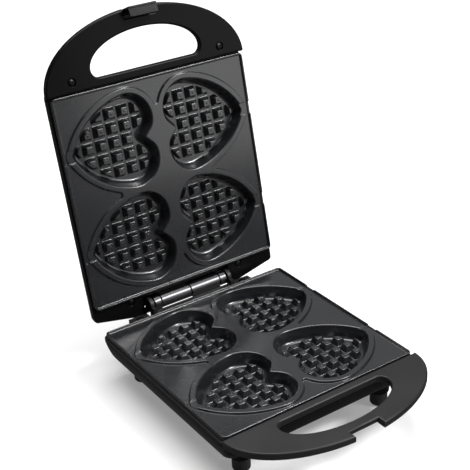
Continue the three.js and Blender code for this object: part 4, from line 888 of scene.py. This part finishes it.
def handle_outline(near, notch_depth):
    """D-shaped outline with its straight side at a distance from the plate's edge and a square
    notch of a depth in the middle of its front. The ellipse starts and ends where its height
    over its own axis is that of the near corners, an arc sine, and stops beside the notch where
    its half width is the notch's, an arc cosine."""
    a, b, cy = HALF + HANDLE_OUT, HANDLE_REACH - HANDLE_SHIFT, -(HALF + HANDLE_SHIFT)
    side = math.asin((near + NEAR_CORNER - HANDLE_SHIFT) / b)
    slot = math.acos(NOTCH_HALF / a)
    y = -(HALF + near + NEAR_CORNER)
    notch = cy - b + notch_depth
    return np.concatenate([
        arc(a - NEAR_CORNER, y, NEAR_CORNER, 0, math.pi / 2, math.pi / 12),
        arc(NEAR_CORNER - a, y, NEAR_CORNER, math.pi / 2, math.pi, math.pi / 12),
        ellipse(cy, a, b, math.pi + side, math.pi + slot, 48),
        [(-NOTCH_HALF, notch), (NOTCH_HALF, notch)],
        ellipse(cy, a, b, 2 * math.pi - slot, 2 * math.pi - side, 48),
    ])


def hand_opening():
    """Opening for the hand: straight near side, round corners and an arched far side."""
    y, x = -(HALF + HAND_NEAR + HAND_CORNER), HAND_HALF - HAND_CORNER
    return np.concatenate([
        arc(x, y, HAND_CORNER, 0, math.pi / 2, math.pi / 20),
        [(x, y + HAND_CORNER)],
        arc(-x, y, HAND_CORNER, math.pi / 2, math.pi, math.pi / 20),
        ellipse(y, HAND_HALF, HAND_ARCH, math.pi, 2 * math.pi, 72)[:-1],
    ])


def block(left, right, front, rear, bottom, top, corner=0.8, edge=0.4, wells=()):
    """Box with round corners in plan, and rounds along its bottom and top edges."""
    loop = rectangle((right - left) / 2, front, rear, corner, 4) + ((left + right) / 2, 0)
    return slab(loop, bottom, top, edge, edge, wells=wells)


def along_x(points):
    """Points of a skin drawn in the plane of Y and Z and raised along X."""
    return points[:, [2, 0, 1]]


def along_y(points):
    """Points of a skin drawn in the plane of X and Z and raised along Y."""
    return points[:, [0, 2, 1]]


print("handle outline", len(handle_outline(HANDLE_NEAR, NOTCH_BACK)), "points")

# %% [markdown]
# ## Frame of the base
#
# The grey moulding of the base is handle, ledge under the plate, wall in front of the hinge, two
# ears that hold the hinge's pin and two pads for screws beside them. Under the handle's lip there
# is more room, for the hook of the latch. The parts could be merged with booleans, but they only
# meet where nothing shows, so they are closed skins that run a little into each other.

# %% Frame of the base
SCREW_SINK, SINK_RADIUS, SINK_ROUND = 1.4, 3.7, 0.5
LIP, HOOK_ROOM, LEDGE_TOP, LEDGE_BOTTOM, LEDGE_SEAT = 4.2, 5.8, -4.8, -7.8, 4.0
BASE_SIDE_OUT, FRAME_FRONT_OUT, BASE_REAR_OUT, HOUSING_CORNER = 1.6, 2.6, 3.4, 7.0
EAR_START, EAR_END, EAR_RADIUS, LEAF_DROP = 40.3, 44.5, 6.8, 16.0
KNUCKLE_RADIUS = 6.2
PAD_START, PAD_END, PAD_TOP, PAD_BACK, PAD_SCREW_OUT = 46.9, 66.0, -3.6, 0.7, 3.2
CLEARANCE, STEP_OUT = 0.3, 1.4
hinge_wall_rear = HINGE_Y - KNUCKLE_RADIUS - CLEARANCE
step_y, pad_rear = HALF + STEP_OUT, HINGE_Y - PAD_BACK
pad_screws = [(side * (PAD_START + PAD_END) / 2, HALF + BASE_REAR_OUT + PAD_SCREW_OUT)
              for side in (-1, 1)]
window = rectangle(HALF - LEDGE_SEAT, LEDGE_SEAT - HALF, HALF - LEDGE_SEAT, PLATE_CORNER)


def sinks(places):
    """Round wells for screw heads."""
    return [(circle(x, y, SINK_RADIUS, 28), SCREW_SINK, SINK_ROUND) for x, y in places]


lip_bottom = -HANDLE_FACE - LIP
base_frame = slab(handle_outline(HANDLE_NEAR, NOTCH_BACK), lip_bottom, -HANDLE_FACE, 0,
                  HANDLE_ROUND, holes=[(hand_opening(), 0, HANDLE_ROUND)])
hook_outline = handle_outline(HANDLE_NEAR, NOTCH_BACK + HOOK_ROOM)
base_frame.join(slab(hook_outline, -HANDLE_BACK, lip_bottom, HANDLE_ROUND, 0,
                     holes=[(hand_opening(), HANDLE_ROUND, 0)]))
ledge = rectangle(HALF + BASE_SIDE_OUT, -(HALF + FRAME_FRONT_OUT), HALF + BASE_REAR_OUT,
                  HOUSING_CORNER)
base_frame.join(slab(ledge, LEDGE_BOTTOM, LEDGE_TOP, 0.3, 0.5, holes=[(window, 0, 0)]))
base_frame.join(block(-EAR_END, EAR_END, HALF + CLEARANCE, hinge_wall_rear, -LEAF_DROP,
                      -HANDLE_FACE))
ear = np.concatenate([
    [(step_y, LEDGE_BOTTOM), (HINGE_Y - EAR_RADIUS / 2, LEDGE_BOTTOM)],
    arc(HINGE_Y, HINGE_UP, EAR_RADIUS, math.radians(240), math.radians(540), math.radians(6)),
    [(HINGE_Y - EAR_RADIUS, HINGE_UP), (step_y, HINGE_UP)],
])
for side in (-1, 1):
    start, end = sorted((side * EAR_START, side * EAR_END))
    base_frame.join(slab(ear, start, end, 0.6, 0.6).moved(along_x))
    start, end = sorted((side * PAD_START, side * PAD_END))
    base_frame.join(block(start, end, step_y, pad_rear, LEDGE_BOTTOM, PAD_TOP,
                          wells=sinks([p for p in pad_screws if p[0] * side > 0])))
add_piece("base_handle_frame", base_frame, to_base, "base", "handle_grey", ["base_frame"])

# %% [markdown]
# ## Tray of the base
#
# The black tray under the plate leans in towards its flat bottom in one soft curve. It is an even
# wall all round, so a single skin runs from its floor inside, over the edge and down the outside.
# The vents, the gap for the hinge and the hole for the lead go through that wall at a slant to its
# rings, so they are cut with one boolean.

# %% Curves and cuts


def smooth(points, steps=5):
    """Smooth curve through points: between two of them a cubic whose slope at each end is half
    the step from its neighbour on one side to that on the other."""
    p = np.asarray(points, float)
    p = np.concatenate([[2 * p[0] - p[1]], p, [2 * p[-1] - p[-2]]])
    t = np.linspace(0, 1, steps, endpoint=False)[:, None, None]
    a, b, c, d = p[:-3], p[1:-2], p[2:-1], p[3:]
    curve = 0.5 * (2 * b + (c - a) * t + (2 * a - 5 * b + 4 * c - d) * t ** 2
                   + (3 * b - a - 3 * c + d) * t ** 3)
    return np.concatenate([curve.transpose(1, 0, 2).reshape(-1, 2), p[-2:-1]])


def boolean_cut(obj, skin, place):
    """Cuts the closed skins of a tool out of a piece with an exact boolean and applies it."""
    tool = bpy.data.objects.new("cutter", skin_mesh("cutter", skin, place))
    bpy.context.scene.collection.objects.link(tool)
    cut = obj.modifiers.new("cut", "BOOLEAN")
    cut.operation, cut.solver, cut.object = "DIFFERENCE", "EXACT", tool
    bpy.context.view_layer.objects.active = obj
    bpy.ops.object.modifier_move_to_index(modifier="cut", index=0)
    bpy.ops.object.modifier_apply(modifier="cut")
    bpy.data.objects.remove(tool)
    shade(obj.data)
    print(obj.name, "cut,", len(obj.data.polygons), "faces")


def turned(line, x, y, sides=40):
    """Closed solid turned about an upright axis, from (radius, height) pairs."""
    return Skin().tube([raised(circle(x, y, r, sides), z) for r, z in line])


# %% Tray of the base
WALL, BODY_DEPTH, TRAY_LEAN, FRONT_OUT, FRONT_CUT_BACK = 2.4, 31.4, 15.0, 7.2, 6.2
tray_top = LEDGE_BOTTOM - CLEARANCE
floor_top = WALL - BODY_DEPTH
tray_curve = smooth([(0, 0), (0.3, 0.1), (0.64, 0.28), (0.82, 0.56), (0.94, 0.8), (1, 1)])


def tray_rings(top, bottom, inset):
    """Rings of the tray: at each share of the depth a round rectangle that leans in by its share
    of the whole lean."""
    rings = []
    for depth, lean_share in tray_curve:
        lean_in = lean_share * TRAY_LEAN + inset
        front = HALF + FRONT_OUT - lean_share * FRONT_CUT_BACK - lean_in
        loop = rectangle(HALF + BASE_SIDE_OUT - lean_in, -front, HALF + BASE_REAR_OUT - lean_in,
                         HOUSING_CORNER * (1 + lean_share) - inset, 10)
        rings.append(raised(loop, top - depth * (top - bottom)))
    return rings


outside, inside = tray_rings(tray_top, -BODY_DEPTH, 0), tray_rings(tray_top, floor_top, WALL)
tray = Skin().tube(inside[::-1] + outside)
FOOT_SIDE, FOOT_FRONT, FOOT_REAR = HALF - 23.8, 14.8 - HALF, HALF - 18.0
FOOT_PLACES = [(x, y) for x in (-FOOT_SIDE, FOOT_SIDE) for y in (FOOT_FRONT, FOOT_REAR)]
FOOT_BOSS_DEPTH = 5.5
boss_low = -BODY_DEPTH - FOOT_BOSS_DEPTH
boss = [(8.2, boss_low), (8.8, boss_low + 0.15), (9.0, boss_low + 0.6), (9.6, floor_top - 0.3)]
for x, y in FOOT_PLACES:
    tray.join(turned(boss, x, y))
tray_piece = add_piece("base_tray", tray, to_base, "base", "housing_black", ["base_cover"])

# %% Openings of the tray
BUSH_X, BUSH_Z, BUSH_RADIUS, BUSH_LENGTH = HALF - 20, -20.0, 5.0, 15
VENT_COUNT, VENT_PITCH, VENT_SIDE, VENT_END, VENT_CORNER, PAST = 9, 8.0, 1.5, 17, 1.45, 2
vents = block(-EAR_END - CLEARANCE, EAR_END + CLEARANCE, HALF, HINGE_Y, -LEAF_DROP - CLEARANCE, 0,
              corner=0.3, edge=0)
for i in range(VENT_COUNT):
    x = (i - VENT_COUNT // 2) * VENT_PITCH
    slot = filleted([(x + VENT_SIDE, -VENT_END), (x + VENT_SIDE, VENT_END),
                     (x - VENT_SIDE, VENT_END), (x - VENT_SIDE, -VENT_END)], VENT_CORNER, 5)
    vents.join(slab(slot, -BODY_DEPTH - PAST, floor_top + PAST))
hole = slab(circle(BUSH_X, BUSH_Z, BUSH_RADIUS + CLEARANCE), HALF - BUSH_LENGTH,
            HALF + BUSH_LENGTH)
vents.join(hole.moved(along_y))
boolean_cut(tray_piece, vents, to_base)

# %% [markdown]
# The tray stands on four rubber feet with a domed edge, each hollow for its screw. A rubber bush
# lines the hole for the lead, and two domed lenses close the lamps' holes in the lid. All of them
# are round, so each is one line of radii and heights turned about its axis.

# %% Feet
FOOT_RADIUS, FOOT_DOME, FOOT_WELL = 7.7, 3.1, 3.5
FOOT_TOP, TABLE = -BODY_DEPTH + 0.9, -RIM_Z
for name, (x, y) in zip(("front_left", "rear_left", "front_right", "rear_right"), FOOT_PLACES):
    dome = [(FOOT_RADIUS - FOOT_DOME + FOOT_DOME * math.sin(a),
             TABLE + FOOT_DOME - FOOT_DOME * math.cos(a)) for a in np.linspace(0, math.pi / 2, 8)]
    well = [(FOOT_WELL, boss_low), (FOOT_WELL, TABLE + 0.3), (FOOT_WELL + 0.3, TABLE)]
    top = [(FOOT_RADIUS, FOOT_TOP - 0.4), (FOOT_RADIUS - 0.4, FOOT_TOP)]
    add_piece("rubber_foot_" + name, turned(well + dome + top, x, y), to_base, "base", "rubber",
              ["foot_" + name])

# %% Lead bush and lenses
bush_rear = HALF + BASE_REAR_OUT + 2
bush = turned([(2.5, HALF), (2.5, bush_rear - 0.4), (2.9, bush_rear), (6.8, bush_rear),
               (7.4, bush_rear - 0.6), (7.4, bush_rear - WALL), (BUSH_RADIUS, bush_rear - WALL),
               (BUSH_RADIUS, bush_rear - BUSH_LENGTH)], BUSH_X, BUSH_Z)
add_piece("lead_bush", bush.moved(along_y), to_base, "base", "rubber", ["cord_bush"])

LAMP_X, LAMP_Y, LENS_RADIUS, COLLAR_RADIUS = 9, 36 - HALF, 4.0, 5.2
LENS_FACE, LENS_RISE, COLLAR_TOP = -31.8, 1.2, -25.1
for name, x in (("power_lens", -LAMP_X), ("ready_lens", LAMP_X)):
    dome = [(LENS_RADIUS * math.sin(a), LENS_FACE + LENS_RISE - LENS_RISE * math.cos(a))
            for a in np.linspace(0.05, math.pi / 2, 8)]
    collar = [(LENS_RADIUS, COLLAR_TOP - LENS_RISE), (COLLAR_RADIUS, COLLAR_TOP - LENS_RISE),
              (COLLAR_RADIUS, COLLAR_TOP)]
    add_piece(name + "_dome", turned(dome + collar, x, LAMP_Y, 28), to_lid, "lid", slot_of[name],
              [name])

# %% [markdown]
# ## The lid
#
# The lid of the real iron is two mouldings: an inner half that carries the plate on a ledge, and
# an outer shell with a low crown. Its rear edge slants out to a gap for the hinge. Both are drawn
# face up like the base and made from one plan, so that their edges meet all round with the same
# fine seam.

# %% Inner half of the lid
LID_SIDE_OUT, LID_CORNER_BACK, LID_MIDDLE_BACK = 1.2, 12.3, 21.6
GAP_HALF, GAP_FRONT, SHOULDER_X = 46.6, HALF + 1.5, 52.0
SKIN_BACK, SEAM, BRIDGE_TOP, NOTCH_WALL = -3.6, 0.4, 2.4, 1.5
LID_SCREW_OUT, LID_SCREW_BACK, HANDLE_SCREW_IN, HANDLE_SCREW_FRONT = 7, 4.5, 24.8, 9.8


def lid_outline(inset, front_out, gap=False):
    """Plan of the lid drawn in by an inset: square front, slanting rear corners and, in the ledge
    that carries the plate, the gap for the hinge."""
    side = HALF + LID_SIDE_OUT - inset
    front = -(HALF + front_out - inset)
    rear = HALF + LID_MIDDLE_BACK - inset
    right = [(side, front), (side, HALF + LID_CORNER_BACK - inset),
             (SHOULDER_X - inset / 2, rear)]
    radii = [HOUSING_CORNER, 3.5, 5.0]
    if gap:
        right += [(GAP_HALF, rear), (GAP_HALF, GAP_FRONT)]
        radii += [1.0, 1.5]
    corners = right + [(-x, y) for x, y in right[::-1]]
    return filleted(corners, radii + radii[::-1], 8)


lid_screws = [(side * (SHOULDER_X + LID_SCREW_OUT), HALF + LID_SCREW_BACK) for side in (-1, 1)]
handle_screws = [(side * (HALF + HANDLE_OUT - HANDLE_SCREW_IN), -(HALF + HANDLE_SCREW_FRONT))
                 for side in (-1, 1)]
lid_frame = slab(handle_outline(HANDLE_NEAR, NOTCH_BACK), SKIN_BACK, -HANDLE_FACE, SEAM_ROUND,
                 HANDLE_ROUND, holes=[(hand_opening(), SEAM_ROUND, HANDLE_ROUND)],
                 wells=sinks(handle_screws))
lid_frame.join(slab(lid_outline(0, FRAME_FRONT_OUT, True), LEDGE_BOTTOM, LEDGE_TOP, 0.3, 0.5,
                    holes=[(window, 0, 0)], wells=sinks(lid_screws)))
lid_frame.join(block(-HALF, HALF, -(HALF + FRAME_FRONT_OUT), -(HALF + HANDLE_NEAR), LEDGE_BOTTOM,
                     -BRIDGE_TOP))
wall_half = GAP_HALF - CLEARANCE
leaf_low = -LEAF_DROP - HINGE_UP + PLATE_GAP
lid_frame.join(block(-wall_half, wall_half, hinge_wall_rear - WALL, hinge_wall_rear, leaf_low,
                     LEDGE_BOTTOM - WALL + 0.5, corner=0.3, edge=0.2))
lid_frame.join(block(-wall_half, wall_half, HALF - LEDGE_SEAT, hinge_wall_rear,
                     LEDGE_BOTTOM - WALL, LEDGE_BOTTOM + 0.2, corner=0.3, edge=0.2))
notch_rear = NOTCH_BACK - HANDLE_REACH - HALF
lid_frame.join(block(-NOTCH_HALF, NOTCH_HALF, notch_rear - NOTCH_WALL, notch_rear + 0.2,
                     -HANDLE_BACK, -HANDLE_FACE, corner=0.2, edge=0.2))
add_piece("lid_handle_frame", lid_frame, to_lid, "lid", "housing_black", ["lid_frame"])

# %% Outer shell of the lid
LID_DEPTH, LID_LEAN, LID_DOME, DOME_INSET = 29.0, 18.0, 1.6, 27.0
LAMP_CUT = (-34, -24)
lid_seam = LEDGE_BOTTOM - SEAM
lid_curve = smooth([(0, 0), (0.28, 0.05), (0.55, 0.2), (0.78, 0.42), (0.93, 0.7), (1, 1)])


def lid_rings(bottom, inset):
    """Rings of the lid's side: at each share of the depth its plan leans in by its share of the
    whole lean."""
    return [raised(lid_outline(inset + lean_share * LID_LEAN,
                               FRONT_OUT - lean_share * FRONT_CUT_BACK),
                   lid_seam - depth * (lid_seam - bottom)) for depth, lean_share in lid_curve]


# The crown rises as t (2 - t) over its inset, steep at its edge and flat in the middle.
crown = [raised(lid_outline(LID_LEAN + t * DOME_INSET, FRONT_OUT - FRONT_CUT_BACK),
                -LID_DEPTH - LID_DOME * t * (2 - t)) for t in np.linspace(0, 1, 8)[1:]]
shell = Skin().tube(lid_rings(WALL - LID_DEPTH, WALL)[::-1] + lid_rings(-LID_DEPTH, 0) + crown)
shell_near = FRAME_FRONT_OUT + CLEARANCE
shell.join(slab(handle_outline(shell_near, NOTCH_BACK), -HANDLE_BACK, SKIN_BACK - SEAM,
                HANDLE_ROUND, SEAM_ROUND, holes=[(hand_opening(), HANDLE_ROUND, SEAM_ROUND)]))
shell.join(block(-HALF, HALF, -(HALF + FRONT_OUT), -(HALF + shell_near), lid_seam - WALL,
                 SKIN_BACK - SEAM))
shell_piece = add_piece("lid_shell", shell, to_lid, "lid", "housing_black", ["lid_cover"])
gap = block(-GAP_HALF, GAP_HALF, GAP_FRONT, HALF + LID_MIDDLE_BACK - WALL,
            leaf_low - CLEARANCE, 2, corner=0.3, edge=0)
for x in (-LAMP_X, LAMP_X):
    gap.join(slab(circle(x, LAMP_Y, LENS_RADIUS + CLEARANCE), *LAMP_CUT))
boolean_cut(shell_piece, gap, to_lid)

# %% [markdown]
# ## Hinge
#
# On the real hinge each leaf is a steel sheet rolled round the pin into one long and one short
# knuckle, so the four knuckles show as a row between the ears. A sheet bent with a modifier would
# come out uneven where it meets itself. So a knuckle is drawn as its section, a round that runs
# into a flat tab, with a hole for the pin, and raised along the axis.

# %% Hinge
PIN_RADIUS, PIN_BEVEL, LEAF_THICKNESS, LEAF_WEB = 4.0, 0.6, 1.5, 8.0
LONG_SPAN, SHORT_SPAN = (0.45, 31.45), (32.35, 38.95)


def knuckle_outline():
    """Section of a rolled leaf about the axis: a circle that runs into a flat tab below it."""
    inner = -KNUCKLE_RADIUS + LEAF_THICKNESS
    meet = math.pi + math.acos(-inner / KNUCKLE_RADIUS)
    return np.concatenate([
        [(-KNUCKLE_RADIUS, -LEAF_DROP), (inner, -LEAF_DROP)],
        arc(0, 0, KNUCKLE_RADIUS, meet, 3 * math.pi, math.radians(6)),
        [(-KNUCKLE_RADIUS, 0)],
    ])


def leaf(spans, way):
    """Hinge leaf about the axis, its tabs pointing down (-1) or up (1)."""
    skin = Skin()
    bore = [(circle(0, 0, PIN_RADIUS + CLEARANCE, 40), 0.3, 0.3)]
    for start, end in spans:
        skin.join(slab(knuckle_outline(), start, end, 0.35, 0.35, holes=bore).moved(along_x))
    left, right = min(s for s, _ in spans), max(e for _, e in spans)
    skin.join(block(left, right, -KNUCKLE_RADIUS, LEAF_THICKNESS - KNUCKLE_RADIUS,
                    -LEAF_DROP, LEAF_WEB - LEAF_DROP, corner=0.3, edge=0.2))
    return skin.moved(lambda p: p * (1, 1, -way))


def left_of(span):
    """The same span on the other side."""
    return (-span[1], -span[0])


def at_axis(points):
    """Points about the hinge axis, moved to it in the row frame."""
    return to_base(points + (0.0, HINGE_Y, HINGE_UP))


add_piece("base_hinge_leaf", leaf([left_of(SHORT_SPAN), LONG_SPAN], -1), at_axis, "base",
          "hinge_steel", ["hinge_leaf_base"])
add_piece("lid_hinge_leaf", leaf([left_of(LONG_SPAN), SHORT_SPAN], 1), to_open, "lid",
          "hinge_steel", ["hinge_leaf_lid"])
pin = [(PIN_RADIUS - PIN_BEVEL, -EAR_END), (PIN_RADIUS, PIN_BEVEL - EAR_END),
       (PIN_RADIUS, EAR_END - PIN_BEVEL), (PIN_RADIUS - PIN_BEVEL, EAR_END)]
add_piece("round_hinge_pin", turned(pin, 0, 0).moved(along_x), at_axis, "base", "fastener_steel",
          ["hinge_pin"])

# %% [markdown]
# ## Latch
#
# The clip swings on a pin in the lid's handle, and its blade closes the handle's notch. It has
# two ridges for the thumb, and a hook that reaches over the lip of the lower handle. It is a small
# moulding of straight walls, so it is put together from blocks. It is drawn shut, where its
# measures are plain, and then swung out, as the open iron shows it.

# %% Latch
LATCH_HALF, LATCH_SWING = 14.0, math.radians(12)
RIDGE_END, RIDGE_WIDTH, RIDGE_SINK, RIDGE_RISE = 1.6, 1.0, 0.6, 1.1
BLADE_SKIN, BARREL_RADIUS, BARREL_BEVEL, WEB_HALF = 2.6, 2.5, 0.2, 1.25
latch_axis = np.array([0, -(HALF + HANDLE_REACH - NOTCH_BACK / 2),
                       -(HANDLE_FACE + HANDLE_BACK) / 2])
blade_front = -(HALF + HANDLE_REACH) + 0.8
blade_middle = blade_front + BLADE_SKIN / 2
hook_top = PLATE_GAP + 7.2


def to_latch(points):
    """Points of the shut clip, swung out about its pin and then placed with the lid."""
    x, y, z = (points - latch_axis).T
    c, s = math.cos(LATCH_SWING), math.sin(LATCH_SWING)
    return to_lid(np.stack([x, y * c - z * s, y * s + z * c], 1) + latch_axis)


clip = block(-LATCH_HALF, LATCH_HALF, blade_front, blade_front + BLADE_SKIN, -HANDLE_BACK,
             hook_top, corner=0.9, edge=0.8)
clip.join(block(-LATCH_HALF, LATCH_HALF, blade_middle, notch_rear + 1.8, hook_top - 2, hook_top,
                corner=0.6, edge=0.5))
barrel = [(BARREL_RADIUS - BARREL_BEVEL, -LATCH_HALF), (BARREL_RADIUS, BARREL_BEVEL - LATCH_HALF),
          (BARREL_RADIUS, LATCH_HALF - BARREL_BEVEL), (BARREL_RADIUS - BARREL_BEVEL, LATCH_HALF)]
clip.join(turned(barrel, latch_axis[1], latch_axis[2]).moved(along_x))
clip.join(block(-LATCH_HALF, LATCH_HALF, blade_middle, latch_axis[1], latch_axis[2] - WEB_HALF,
                latch_axis[2] + WEB_HALF, corner=0.3, edge=0.3))
for start in (-LATCH_HALF, LATCH_HALF - BLADE_SKIN):
    clip.join(block(start, start + BLADE_SKIN, blade_middle, latch_axis[1], latch_axis[2],
                    hook_top - 1, corner=0.4, edge=0.3))
for front in (blade_front + 0.9, notch_rear + 0.4):
    clip.join(block(RIDGE_END - LATCH_HALF, LATCH_HALF - RIDGE_END, front, front + RIDGE_WIDTH,
                    hook_top - RIDGE_SINK, hook_top + RIDGE_RISE, corner=0.4, edge=0.3))
add_piece("latch_blade", clip, to_latch, "latch", "housing_black", ["latch_clip"])

# %% [markdown]
# ## Screws
#
# Six screws show: two beside the hinge, two in the lid's rear and two in its handle. Each has a
# low round head with a cross recess and sits in a round well. The recess could be cut with a
# boolean, but its outline can as well be a hole in the flat top, with a wall going down from it.

# %% Screws
HEAD_RADIUS, HEAD_SIDE, HEAD_DOME, DOME_SHARE = 3.2, 0.3, 1.5, 0.72
SHANK_RADIUS, SHANK_LENGTH, SHORT_SHANK, SEAT_RISE = 1.6, 7.0, 3.0, 0.3
RECESS_REACH, RECESS_HALF, RECESS_DEPTH, RECESS_DRAFT = 1.8, 0.42, 0.9, 0.08


def cross(x, y):
    """Outline of a cross recess, anticlockwise: one arm in four quarter turns."""
    arm = np.array([(RECESS_HALF, RECESS_HALF), (RECESS_HALF, RECESS_REACH),
                    (-RECESS_HALF, RECESS_REACH)])
    quarter_turn = np.array([[0, 1], [-1, 0]])
    arms = [arm @ np.linalg.matrix_power(quarter_turn, count) for count in range(4)]
    return np.concatenate(arms) + (x, y)


def screw(x, y, seat, length):
    """Pan-head screw: the head's side is an ellipse, its top flat with the recess sunk in it."""
    skin = Skin()
    angle = np.linspace(0, math.pi / 2 * DOME_SHARE, 7)
    line = [(HEAD_RADIUS, seat), *zip(HEAD_RADIUS * np.cos(angle),
                                      seat + HEAD_SIDE + HEAD_DOME * np.sin(angle))]
    rings = skin.wall([raised(circle(x, y, r, 28), z) for r, z in line])
    skin.cap(rings[0])
    loop = cross(x, y)
    top = line[-1][1]
    recess = skin.wall([raised(loop, top),
                        raised(drawn_in(loop, RECESS_DRAFT), top - RECESS_DEPTH)])
    skin.cap(recess[1])
    skin.cap(rings[-1], recess[0])
    shank = [(SHANK_RADIUS, seat - length), (SHANK_RADIUS, seat + 0.2)]
    return skin.join(turned(shank, x, y, 16))


head_rise = SEAT_RISE - SCREW_SINK
for name, places, top, place, body, length in (
        ("base_rear_screw", pad_screws, PAD_TOP, to_base, "base", SHANK_LENGTH),
        ("lid_rear_screw", lid_screws, LEDGE_TOP, to_lid, "lid", SHANK_LENGTH),
        ("lid_handle_screw", handle_screws, -HANDLE_FACE, to_lid, "lid", SHORT_SHANK)):
    for x, y in places:
        side = "left" if (x < 0) == (body == "base") else "right"
        add_piece(f"cross_{name}_{side}", screw(x, y, top + head_rise, length), place, body,
                  "fastener_steel", [f"{name}_{side}"])
